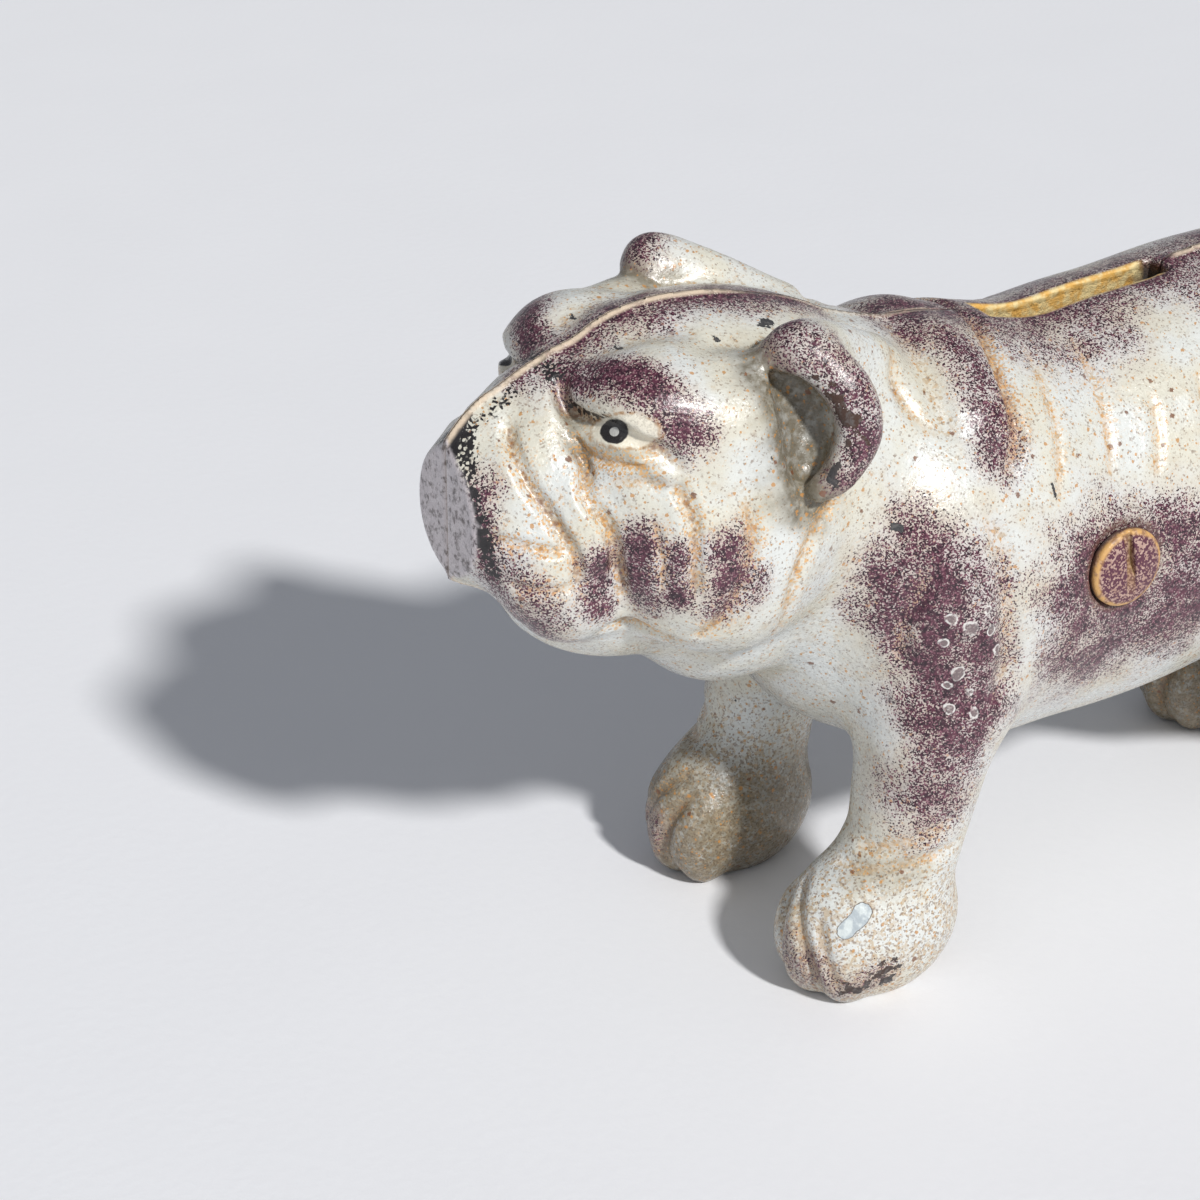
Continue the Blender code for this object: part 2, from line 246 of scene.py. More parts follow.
BODY_FOLDS = (
    (((-25.5, -4.5, 99.5), (-25.5, -10, 98), (-25.5, -15.5, 96), (-24.5, -18, 91.5),
      (-22, -21, 88.5)), 1.5, 0.6, 0.3),
    (((-11.5, 0, 98), (-11.5, -11, 95), (-12.5, -18, 91), (-13.5, -22.5, 86.5)), 4.0, -0.9, 0.0),
    (((-4, 0, 96), (-4.5, -5, 95.5), (-7, -13.5, 93), (-8.5, -20.5, 88.5), (-9.5, -23.5, 85.5),
      (-13, -26.5, 81.5)), 1.1, 1.1, 1.0),
    (((-18, 0, 96.5), (-18.5, -9, 95), (-19.5, -16, 91), (-19.5, -21, 86)), 2.0, 0.7, 0.1),
    (((0.5, -10.5, 93.5), (-1, -18.5, 89), (-2, -23.5, 84.5), (-5.5, -28.5, 76)), 1.0, 0.33, 0.45),
    (((9.5, -9, 92.5), (9.5, -15, 89.5), (8.5, -19.5, 85.5), (7.5, -23.5, 81.5),
      (6, -26, 77)), 1.0, 0.33, 0.45),
    (((17, -20, 86), (16, -24, 81), (14, -26.5, 75.5)), 1.0, 0.3, 0.4),
    (((26, -19, 87), (25, -24, 81), (23, -27, 74)), 1.2, 0.4, 0.3),
    (((35, -18, 88), (34, -24, 81), (32, -27, 74)), 1.2, 0.35, 0.3),
    (((-18.5, -28.5, 78), (-16, -30.5, 73), (-15.5, -32, 64.5), (-14.5, -31.5, 53.5),
      (-17, -31.5, 48)), 2.2, 0.9, 0.3),
    (((-27, -28.5, 71.5), (-29, -27.5, 66), (-30, -26.5, 62), (-29.5, -25.5, 56)), 1.6, 0.8, 0.8),
    (((44, -26, 78), (42, -27.5, 64), (46, -27, 50), (52, -24, 38)), 2.6, 1.1, 0.2),
    (((79, -15, 62), (80, -19, 48), (80, -23, 36)), 2.0, 0.6, 0.3),
    (((79, -5, 92), (85, -6, 86), (87, -5.5, 79), (86.5, -4.6, 73), (86, 0, 69)), 1.5, 1.2, 0.3),
)
LEG_FOLDS = (
    (((-33, -22, 24.5), (-29, -27.5, 26.5), (-21.5, -30.5, 30.5)), 1.3, 0.5, 0.4),
    (((-35.5, -20.5, 22), (-32.5, -26, 22.5), (-26, -29.5, 24), (-19.5, -29, 25.5)), 1.2, 0.6, 0.3),
)
TOE_FOLDS = (
    (((-38, -17, 19), (-41.5, -20, 16), (-42.5, -23, 11), (-41.5, -24.5, 6.5),
      (-41, -25, 2)), 1.0, 0.9, 0.25),
    (((-40.5, -24, 15.5), (-40.5, -26.5, 9.5), (-39, -28, 3)), 0.9, 0.5, 0.2),
    (((-39.5, -14, 18), (-42, -16.5, 12.5), (-43.5, -17.5, 6), (-42.5, -17.5, 2)), 1.0, 0.8, 0.2),
)


def shifted(folds, along_x):
    return tuple(
        (tuple((x + along_x, y, z) for x, y, z in points), width, depth, rust)
        for points, width, depth, rust in folds
    )


FOLDS = (
    FACE_FOLDS + BODY_FOLDS + LEG_FOLDS + TOE_FOLDS
    + shifted(LEG_FOLDS + TOE_FOLDS, HIND_PAW_SHIFT)
)

# --- paint, in millimetres: places are runs of points with a reach and a strength -----------------

# How far out a patch has faded away, and how much its outline wanders, in shares of its reach.
FADE = 1.6
UNEVENNESS = 0.28
PLUM = (
    (((-73, 0, 103), (-60, 0, 108), (-42, 0, 106), (-34, 0, 102)), 6.0, 1.0),
    (((-71.4, -5.6, 102), (-67, -12.5, 102.5), (-64.9, -15.4, 101), (-61.9, -20.4, 97)), 3.9, 1.1),
    (((-46, -19, 108), (-41.5, -27, 103), (-39.5, -30.5, 95), (-41.5, -31, 90)), 4.2, 0.95),
    (((-74.1, -17.6, 79), (-73.8, -17.6, 72.5)), 3.3, 1.0),
    (((-69.2, -20.6, 82.6), (-69.2, -20.4, 73.5)), 3.6, 1.1),
    (((-65.5, -23.4, 81), (-65.5, -23.4, 75)), 2.8, 0.95),
    (((-58.9, -26.4, 81), (-58.7, -26.4, 74)), 4.0, 0.95),
    (((-54.5, -27.5, 77), (-55, -27, 73)), 2.4, 0.6),
    (((-87, -8, 90), (-87.5, -9, 82), (-87, -9.5, 76), (-82, -13, 69), (-76, -12, 64.5)), 3.2, 0.85),
    (((-85, -12, 80), (-82, -15, 74), (-79, -16, 70)), 3.4, 0.6),
    (((-27.5, -28, 69.5), (-25, -30, 63), (-23.5, -30, 55), (-22, -31, 49)), 10.4, 1.2),
    (((-26, -29, 46), (-22.5, -30, 38), (-24, -30, 33)), 6.5, 0.85),
    (((-30, -25, 36), (-25, -29, 29)), 4.5, 0.5),
    (((-13, 0, 98), (10, 0, 94), (34, 0, 96)), 10.5, 0.95),
    (((-11, -8, 96), (-12.5, -18, 91), (-13, -24, 85)), 5.0, 0.8),
    (((0, -8, 94), (14, -10, 92)), 7.5, 0.65),
    (((0, -30, 63), (4, -30, 52), (20, -29, 55)), 11.5, 1.0),
    (((6, -30, 67), (24, -29, 64)), 8.0, 0.9),
    (((34, 0, 97), (60, 0, 98), (84, 0, 90)), 11.0, 0.9),
    (((62, -26, 66), (62, -27, 52)), 11.0, 0.95),
    (((70, -27, 42), (74, -28, 30)), 7.5, 0.6),
    (((-41, -24, 9), (-38, -27, 5), (-32, -29, 6)), 3.2, 0.5),
    (((-43, -20, 11), (-42, -22, 4)), 2.6, 0.5),
)
BLACK = (
    (((-85.6, 0, 95.5), (-88, -1.5, 91.5)), 2.6, 1.0),
    (((-86.4, -3, 93.5), (-87.5, -5.4, 91), (-87.8, -7.9, 87.3), (-87.6, -9.6, 82.2),
      (-87.2, -10.6, 78)), 1.4, 0.85),
    (((-79, -1.4, 98.6), (-84, -1.6, 96)), 1.2, 0.45),
    (((-73.5, 0, 102), (-73, -3.5, 101.5)), 1.8, 0.6),
    (((-72.5, -7, 98.4), (-68.8, -15.5, 98.4)), 1.2, 0.75),
)
CHIPS = (
    (((-44.9, -26.7, 102.9), (-42.3, -29.5, 98), (-42, -30, 94)), 2.4, 0.9),
    (((-43.8, -29.2, 91.2), (-44.5, -29, 89)), 1.3, 1.0),
    (((-32.4, -28, 8.3), (-31, -29, 7)), 3.0, 0.95),
    (((-31.5, -30.5, 5), (-38, -28.5, 4)), 2.2, 0.8),
    (((-65.1, -6.2, 104.9), (-64.6, -6.8, 105)), 1.1, 1.1),
    (((-52.0, -10.5, 105), (-51.4, -10.6, 105)), 0.9, 1.1),
    (((-43.1, -8.6, 105.1), (-41.8, -9, 105)), 1.2, 1.1),
    (((-84.8, -11.8, 84.8), (-84, -12, 84.6)), 0.8, 1.0),
    (((-31.5, -26, 78), (-30.5, -26.4, 77.6)), 0.8, 1.1),
    (((-5.5, -27, 79), (-5.5, -27.4, 77.5)), 0.8, 1.1),
)
BROWN_CHIPS = (
    (((-45, -26, 103.5), (-41, -30, 98), (-41, -30.5, 92)), 3.4, 1.0),
    (((-33, -28, 8), (-40, -27, 5)), 3.4, 0.8),
)
SCRAPE = ((((-37.9, -27.5, 14.6), (-35.7, -28.5, 17.4)), 1.6, 1.0),)
# Places of caked grime; the first, the ear's cup, is darkened past its grime as painted shade of the cup.
GRIME_AND_SHADE_PLACES = (
    (((-48.5, -18, 101), (-47, -20.5, 97), (-47, -22, 91.5), (-46, -25, 88.5)), 5.6, 2.2),
    (((-69, -9.5, 94.8), (-67.5, -15.5, 95.2), (-65, -19.5, 93.5)), 1.0, 0.55),
    (((-73, -5, 99), (-72.5, -9, 94), (-71.5, -11.5, 90)), 1.5, 0.75),
    (((-31, -25, 37), (-23, -30, 35)), 4.0, 0.4),
    (((-34, -24, 20), (-28, -29, 22)), 3.0, 0.4),
    (((-30, 0, 40), (-46, 0, 50), (-58, 0, 56)), 7.0, 0.5),
    (((-42, -17, 13), (-42.5, -20, 9), (-41, -25, 5), (-36, -29, 3)), 3.5, 0.4),
)
# How far the rust of a fold is looked for, and how wide its dust lies.
RUST_REACH = 5.0
DUST_WIDTH = 2.2
# Blisters where drips dried on the left shoulder, raised a little: centre, radius.
DRIP_HEIGHT = 0.5
DRIPS = (
    ((-24.8, -31.5, 63.1), 0.75), ((-22.1, -31.5, 61.4), 1.0), ((-23.3, -31.5, 54.1), 0.95),
    ((-33.0, -27.5, 50.6), 0.6), ((-24.4, -31.5, 48.8), 0.65), ((-17.5, -31.5, 57.0), 0.7),
    ((-25.6, -31.5, 59.5), 0.55), ((-21.0, -31.5, 47.6), 0.75), ((-19.6, -31.5, 64.0), 0.5),
    ((-19.0, -31.5, 60.6), 0.6), ((-21.5, -31.5, 51.0), 0.5), ((-24.6, -31.5, 52.4), 0.45),
)

# --- the block of space -----------------------------------------------------------------------


class Clay:
    """A block of small cubes.  d is the distance to the surface in mm, less than nothing inside."""

    def __init__(self, low, high, step):
        self.low = np.array(low, float)
        self.step = step
        counts = np.ceil((np.array(high) - self.low) / step).astype(int) + 1
        self.axes = [(self.low[i] + step * np.arange(counts[i])).astype(np.float32) for i in range(3)]
        self.d = np.full(counts, 50.0, np.float32)

    def around(self, low, high):
        """The slices of the block between two corners, and the x, y and z of the cubes there."""
        first = np.floor((np.array(low) - self.low) / self.step).astype(int)
        last = np.ceil((np.array(high) - self.low) / self.step).astype(int) + 1
        first = np.clip(first, 0, np.array(self.d.shape))
        last = np.clip(last, 0, np.array(self.d.shape))
        cut = tuple(slice(int(a), int(b)) for a, b in zip(first, last))
        x = self.axes[0][cut[0]][:, None, None]
        y = self.axes[1][cut[1]][None, :, None]
        z = self.axes[2][cut[2]][None, None, :]
        return cut, x, y, z

    def whole(self):
        return self.around(self.low, [axis[-1] for axis in self.axes])

    def add(self, cut, d, softness):
        old = self.d[cut]
        lap = np.maximum(softness - np.abs(old - d), 0) / softness
        self.d[cut] = np.minimum(old, d) - lap * lap * softness / 4

    def take(self, cut, d, softness):
        old = self.d[cut]
        lap = np.maximum(softness - np.abs(old + d), 0) / softness
        self.d[cut] = np.maximum(old, -d) + lap * lap * softness / 4

    def sample(self, values, points):
        """Values of a block of the same shape at points, between the cubes' centres."""
        place = (points - self.low) / self.step
        place = np.clip(place, 0, np.array(values.shape) - 1.001)
        base = place.astype(int)
        share = place - base
        total = np.zeros(len(points))
        for corner in itertools.product((0, 1), repeat=3):
            weight = np.where(corner, share, 1 - share).prod(1)
            total += weight * values[tuple((base + corner).T)]
        return total

    def slope(self, points):
        """The direction in which the distance grows at points."""
        reach = 1.5 * self.step
        sides = np.eye(3) * reach
        return np.stack(
            [
                (self.sample(self.d, points + side) - self.sample(self.d, points - side)) / (2 * reach)
                for side in sides
            ],
            axis=1,
        )

    def on_surface(self, points):
        points = np.array(points, float)
        for _ in range(4):
            slope = self.slope(points)
            steepness = np.maximum((slope**2).sum(1), 0.1)
            points = points - slope * (self.sample(self.d, points) / steepness)[:, None]
        return points

    def mesh(self):
        """Points and quads of the surface."""
        grid = openvdb.FloatGrid(50.0)
        grid.copyFromArray(self.d)
        grid.transform = openvdb.createLinearTransform(voxelSize=self.step)
        points, quads = grid.convertToQuads(isovalue=0.0)
        return points + self.low, quads[:, ::-1]


def smooth_step(low, high, value):
    share = np.clip((value - low) / (high - low), 0, 1)
    return share * share * (3 - 2 * share)


def ellipsoid_distance(x, y, z, centre, radii, tilt=0.0):
    turn = np.array(Euler((0, math.radians(tilt), 0)).to_matrix())
    x, y, z = x - centre[0], y - centre[1], z - centre[2]
    x, z = turn[0, 0] * x + turn[2, 0] * z, turn[0, 2] * x + turn[2, 2] * z
    near = np.sqrt((x / radii[0]) ** 2 + (y / radii[1]) ** 2 + (z / radii[2]) ** 2)
    far = np.sqrt((x / radii[0] ** 2) ** 2 + (y / radii[1] ** 2) ** 2 + (z / radii[2] ** 2) ** 2)
    return (near * (near - 1) / (far + 1e-9)).astype(np.float32)


def limb_distance(x, y, z, start, start_radius, end, end_radius):
    start, run = np.array(start, float), np.array(end, float) - np.array(start, float)
    x, y, z = x - start[0], y - start[1], z - start[2]
    share = np.clip((x * run[0] + y * run[1] + z * run[2]) / (run @ run), 0, 1)
    gap = np.sqrt((x - share * run[0]) ** 2 + (y - share * run[1]) ** 2 + (z - share * run[2]) ** 2)
    return (gap - (start_radius + (end_radius - start_radius) * share)).astype(np.float32)


def softness_of(radius):
    """How widely a form blends into its neighbours."""
    if radius > 16:
        return 8.0
    return 5.0 if radius > 8 else 3.0


def add_ellipsoid(clay, centre, radii, tilt=0.0, softness=None, less=0.0):
    softness = softness or softness_of(min(radii))
    radii = [radius - less for radius in radii]
    margin = max(radii) + softness + 6
    cut, x, y, z = clay.around([c - margin for c in centre], [c + margin for c in centre])
    if 0 in clay.d[cut].shape:
        return
    clay.add(cut, ellipsoid_distance(x, y, z, centre, radii, tilt), softness)


def add_limb(clay, stations, softness=None, less=0.0, remove=False):
    """Joins on, or cuts out, a limb whose stations are rounded into one smooth curve."""
    rows = np.array([(*point, radius) for point, radius in stations], float)
    softness = softness or softness_of(rows[:, 3].mean())
    margin = rows[:, 3].max() + softness + 6
    cut, x, y, z = clay.around(rows[:, :3].min(0) - margin, rows[:, :3].max(0) + margin)
    if 0 in clay.d[cut].shape:
        return
    run = smooth_run(rows, per_stretch=4) if len(rows) > 2 else rows
    d = np.full(clay.d[cut].shape, 50.0, np.float32)
    for start, end in zip(run[:-1], run[1:]):
        d = np.minimum(d, limb_distance(x, y, z, start[:3], start[3] - less, end[:3], end[3] - less))
    (clay.take if remove else clay.add)(cut, d, softness)


def other_side(point):
    return (point[0], -point[1], point[2])


def both_sides(stations):
    """A limb of the left side and its twin, whose edge reaches across the middle."""
    return (stations, tuple((other_side(point), radius) for point, radius in stations))


def smooth_run(points, per_stretch=8):
    """A smooth curve through points."""
    points = np.array(points, float)
    if len(points) < 3:
        return np.linspace(points[0], points[-1], per_stretch)
    ends = np.vstack([2 * points[0] - points[1], points, 2 * points[-1] - points[-2]])
    run = []
    for a, b, c, d in zip(ends[:-3], ends[1:-2], ends[2:-1], ends[3:]):
        for t in np.linspace(0, 1, per_stretch, endpoint=False):
            bend, twist = 2 * a - 5 * b + 4 * c - d, 3 * b - a - 3 * c + d
            run.append(0.5 * (2 * b + (c - a) * t + bend * t**2 + twist * t**3))
    run.append(points[-1])
    return np.array(run)


def distance_to_run(x, y, z, run):
    """The distance to a run of points, and how far along it the nearest one is, from 0 to 1."""
    best, along = None, None
    count = len(run) - 1
    for number, (start, end) in enumerate(zip(run[:-1], run[1:])):
        step = end - start
        share = (x - start[0]) * step[0] + (y - start[1]) * step[1] + (z - start[2]) * step[2]
        share = np.clip(share / max(step @ step, 1e-9), 0, 1)
        gap = (
            (x - start[0] - share * step[0]) ** 2
            + (y - start[1] - share * step[1]) ** 2
            + (z - start[2] - share * step[2]) ** 2
        )
        here = (number + share) / count
        if best is None:
            best, along = gap, here
        else:
            nearer = gap < best
            best, along = np.where(nearer, gap, best), np.where(nearer, here, along)
    return np.sqrt(best), along


def faded_ends(along):
    return np.clip(6.4 * along * (1 - along), 0, 1) ** 0.7


def press_folds(clay, folds):
    """Presses creases with full shoulders and raises ridges; where two meet, the deeper one counts.
    Returns each one's run on the surface with its width and share of rust."""
    pressed, raised = np.zeros_like(clay.d), np.zeros_like(clay.d)
    runs = []
    for points, width, depth, rust in folds:
        run = clay.on_surface(smooth_run(points))
        margin = 6 * width
        cut, x, y, z = clay.around(run.min(0) - margin, run.max(0) + margin)
        gap, along = distance_to_run(x, y, z, run)
        profile = np.exp(-((gap / width) ** 2))
        if depth > 0:
            profile = 1.35 * profile - 0.35 * np.exp(-((gap / (2.6 * width)) ** 2))
        change = FOLD_STRENGTH * depth * faded_ends(along) * profile
        pressed[cut] = np.maximum(pressed[cut], change)
        raised[cut] = np.minimum(raised[cut], change)
        runs.append((run, width, rust))
    clay.d += pressed + raised
    return runs


# --- the dog ------------------------------------------------------------------------------------

def above_chest(z):
    return smooth_step(60, 75, z)


def seam_weight(x):
    """How proud the casting's flash stands along the seam."""
    head = 1 - smooth_step(-50, -36, x)
    neck = 0.45 * smooth_step(-40, -34, x) * (1 - smooth_step(-12, -6, x))
    back = 0.9 * smooth_step(33.5, 36, x)
    return head + neck + back


def model_dog():
    """The outside of the dog's left half, a little past the seam, and the runs of its folds."""
    clay = Clay(BLOCK_LOW, BLOCK_HIGH, CLAY_STEP)
    for centre, radii, tilt in MIDDLE_FORMS:
        add_ellipsoid(clay, centre, radii, tilt)
    for stations in MIDDLE_LIMBS + (NOSE_RIDGE,):
        add_limb(clay, stations)
    for centre, radii, tilt in SIDE_FORMS + SIDE_FILLING:
        add_ellipsoid(clay, centre, radii, tilt)
        add_ellipsoid(clay, other_side(centre), radii, tilt)
    for limb in SIDE_LIMBS + SIDE_FILLING_LIMBS:
        for stations in both_sides(limb):
            add_limb(clay, stations)
    for toe_x, toe_y in FRONT_TOES + HIND_TOES:
        add_ellipsoid(clay, (toe_x, toe_y, TOE_HEIGHT), TOE_RADII, softness=TOE_SOFTNESS)
    runs = press_folds(clay, FOLDS)
    add_limb(clay, EAR_CUP, CUP_SOFTNESS, remove=True)
    add_limb(clay, EAR_EDGE, EAR_EDGE_SOFTNESS)
    _, x, y, z = clay.whole()
    flash = FLASH_HEIGHT * seam_weight(x) * np.exp(-((y / FLASH_WIDTH) ** 2)) * above_chest(z)
    clay.d -= flash.astype(np.float32)
    for centre, size in DRIPS:
        spot = clay.on_surface([centre])[0]
        add_ellipsoid(clay, spot, (size, DRIP_HEIGHT, size), softness=DRIP_SOFTNESS)
    return clay, runs


def fit_to_frame(clay):
    """Scale and shift for each axis that take the modelled dog to the CAD model's box."""
    _, x, _, z = clay.whole()
    body = np.maximum(np.maximum(clay.d, MUZZLE_X - x), -z).astype(np.float32)
    scale, shift = np.ones(3), np.zeros(3)
    for axis in range(3):
        others = tuple(i for i in range(3) if i != axis)
        nearest = body.min(axis=others)
        filled = np.nonzero(nearest < 0)[0]
        first, last = filled[0], filled[-1]
        values = clay.axes[axis]

        def crossing(outside, inside):
            share = nearest[outside] / (nearest[outside] - nearest[inside])
            return values[outside] + share * (values[inside] - values[outside])

        low = crossing(first - 1, first) if first > 0 else values[0]
        cad_low, cad_high = CAD_LOW[axis] / MM, CAD_HIGH[axis] / MM
        if axis == 1:
            scale[axis] = cad_low / low
        else:
            high = crossing(last + 1, last)
            scale[axis] = (cad_high - cad_low) / (high - low)
            shift[axis] = cad_low - low * scale[axis]
    return scale, shift


def hollow_distance():
    """Distance to the sand core's surface, on a block like the dog's."""
    core = Clay(BLOCK_LOW, BLOCK_HIGH, CLAY_STEP)
    for centre, radii, tilt in CORE_FORMS:
        add_ellipsoid(core, centre, radii, tilt, softness=CORE_SOFTNESS, less=WALL)
    for stations in CORE_LIMBS:
        add_limb(core, stations, softness=CORE_SOFTNESS, less=WALL)
    return core.d


def box_distance(x, y, z, centre, half):
    return np.maximum(
        np.maximum(np.abs(x - centre[0]) - half[0], np.abs(y - centre[1]) - half[1]),
        np.abs(z - centre[2]) - half[2],
    )


def slot_distance(x, y, z):
    return box_distance(x, y, z, SLOT_CENTRE, [size / 2 for size in SLOT_SIZE])


def machine_half(clay, core, scale, shift, side):
    """Cuts one half's hollow and fittings.  y runs outward here, from the seam at 0, on both sides."""
    half = Clay(clay.low, [axis[-1] for axis in clay.axes], clay.step)
    half.d = clay.d.copy()
    cut, x, y, z = half.whole()
    x = x * scale[0] + shift[0]
    y = -y * scale[1]
    z = z * scale[2] + shift[2]

    def rod(low_y, high_y, radius, centre=(SCREW_X, SCREW_Z)):
        across = np.sqrt((x - centre[0]) ** 2 + (z - centre[1]) ** 2) - radius
        return np.maximum(across, np.maximum(low_y - y, y - high_y))

    half.take(cut, core, CAST_SOFTNESS)
    boss_end = -HEAD_SEAT_Y if side < 0 else NUT_BOSS_Y
    half.add(cut, rod(BOSS_INNER_Y, boss_end, BOSS_RADII[side]), CAST_SOFTNESS)
    for peg in PEG_CENTRES:
        boss = np.maximum(rod(-2, PEG_BOSS[1], PEG_BOSS[0], peg), clay.d + 1)
        half.add(cut, boss, CAST_SOFTNESS)
    half.take(cut, slot_distance(x, y, z), SLOT_SOFTNESS)
    half.take(cut, rod(PAST_SEAM, PAST_FLANK, SHANK_RADIUS + CLEARANCE), BORE_SOFTNESS)
    if side < 0:
        half.take(cut, rod(-HEAD_SEAT_Y, PAST_FLANK, HEAD_RADIUS + CLEARANCE), SEAT_SOFTNESS)
    else:
        reach = NUT_WIDTH / 2 + CLEARANCE
        pocket = box_distance(x, y, z, (SCREW_X, NUT_SEAT_Y + 20, SCREW_Z), (reach, 20, reach))
        half.take(cut, pocket, SEAT_SOFTNESS)
        for peg in PEG_CENTRES:
            socket = rod(PAST_SEAM, PEG_LENGTH + 2 * CLEARANCE, PEG_RADIUS + CLEARANCE, peg)
            half.take(cut, socket, PEG_SOFTNESS)
    for outside in (MUZZLE_X - x, -z, JOINT_GAP - y):
        half.d = np.maximum(half.d, outside)
    if side < 0:
        for peg in PEG_CENTRES:
            half.add(cut, rod(-PEG_LENGTH, 2, PEG_RADIUS, peg), PEG_SOFTNESS)
    half.d = half.d.astype(np.float32)
    return half


def sharpen_joint(half, clay, points, scale):
    """Brings the rounded rim of the joint face out to the seam, flush with its neighbour."""
    joint = -JOINT_GAP / scale[1]
    across_joint = np.abs(points[:, 1] - joint) < RIM_REACH * half.step
    rim = across_joint & (clay.sample(clay.d, points) > -RIM_DEPTH * half.step)
    spots = points[rim]
    spots[:, 1] = joint
    for _ in range(3):
        slope = clay.slope(spots)
        slope[:, 1] = 0
        steepness = np.maximum((slope**2).sum(1), 0.2)
        spots -= slope * (clay.sample(clay.d, spots) / steepness)[:, None]
    spots[:, 2] = np.maximum(spots[:, 2], 0)
    points[rim] = spots
    return points


def blurred(values, passes):
    for _ in range(passes):
        for axis in range(3):
            lower, middle, upper = [slice(None)] * 3, [slice(None)] * 3, [slice(None)] * 3
            lower[axis], middle[axis], upper[axis] = slice(0, -2), slice(1, -1), slice(2, None)
            inner = 0.25 * (values[tuple(lower)] + values[tuple(upper)]) + 0.5 * values[tuple(middle)]
            values = values.copy()
            values[tuple(middle)] = inner
    return values


def new_piece(name, points, faces, material):
    mesh = bpy.data.meshes.new(name)
    mesh.from_pydata((points * MM).tolist(), [], faces.tolist())
    mesh.validate()
    mesh.shade_smooth()
    piece = bpy.data.objects.new(name, mesh)
    bpy.context.scene.collection.objects.link(piece)
    mesh.materials.append(material)
    return piece


def thinned(piece, most):
    """Collapses the flattest edges until at most so many triangles are left."""
    triangles = sum(len(face.vertices) - 2 for face in piece.data.polygons)
    if triangles > most:
        thin = piece.modifiers.new("thin", "DECIMATE")
        thin.ratio = most / triangles
        graph = bpy.context.evaluated_depsgraph_get()
        mesh = bpy.data.meshes.new_from_object(piece.evaluated_get(graph))
        piece.modifiers.clear()
        piece.data = mesh
    return piece


def keep_in_frame(piece):
    """Moves the points that thinning pushed past the CAD model's box back onto it."""
    points = vertex_points(piece) * MM
    points = np.clip(points, CAD_LOW, CAD_HIGH)
    piece.data.vertices.foreach_set("co", points.astype(np.float32).ravel())
    piece.data.update()


def crisp_flats(piece):
    """Shades the joint face, the muzzle's front and the soles as true flats with crisp rims."""
    points = vertex_points(piece)
    x, y, z = points.T
    flats = (np.abs(y) < 2 * JOINT_GAP, x < MUZZLE_X + FLAT_TOLERANCE, z < FLAT_TOLERANCE)
    for face in piece.data.polygons:
        corners = list(face.vertices)
        face.use_smooth = not any(flat[corners].all() for flat in flats)


def vertex_points(piece):
    points = np.zeros(len(piece.data.vertices) * 3, np.float32)
    piece.data.vertices.foreach_get("co", points)
    return points.reshape(-1, 3).astype(float) / MM


def store(piece, name, values):
    attribute = piece.data.attributes.new(name, "FLOAT", "POINT")
    attribute.data.foreach_set("value", np.clip(values, 0, 1).astype(np.float32))


def waves(points):
    """A gentle pattern over space, about -1 to 1, that keeps patch outlines from looking drawn."""
    x, y, z = points.T
    long = np.sin(0.41 * x + 0.23 * z + 1.3) * np.cos(0.37 * z - 0.19 * y + 0.4)
    short = np.sin(0.93 * x - 0.61 * z + 0.2) * np.cos(0.88 * z + 0.52 * x + 2.1)
    return 0.65 * long + 0.35 * short


def near_run(points, run, reach):
    """The numbers of the points in the box round a run, widened by the reach."""
    inside = (points > np.min(run, 0) - reach) & (points < np.max(run, 0) + reach)
    return np.nonzero(inside.all(1))[0]


def patches(clay, points, places):
    """How strongly each point lies in one of the places on the surface."""
    total = np.zeros(len(points))
    for run, reach, strength in places:
        run = clay.on_surface(run)
        near = near_run(points, run, FADE * reach)
        if len(near):
            spots = points[near]
            gap, _ = distance_to_run(*spots.T, run)
            gap = gap + UNEVENNESS * reach * waves(spots)
            total[near] = np.maximum(total[near], strength * (1 - smooth_step(0, FADE * reach, gap)))
    return total


def fold_rust(points, runs):
    """The thin line of rust along each fold, and the wider dust of it round the line."""
    rust, dust = np.zeros(len(points)), np.zeros(len(points))
    for run, width, share in runs:
        near = near_run(points, run, RUST_REACH) if share > 0 else []
        if len(near):
            gap, along = distance_to_run(*points[near].T, run)
            amount = share * faded_ends(along)
            line = amount * np.exp(-((gap / (0.34 * width + 0.12)) ** 2))
            rust[near] = np.maximum(rust[near], line)
            dust[near] = np.maximum(dust[near], amount * np.exp(-((gap / DUST_WIDTH) ** 2)))
    return rust, dust


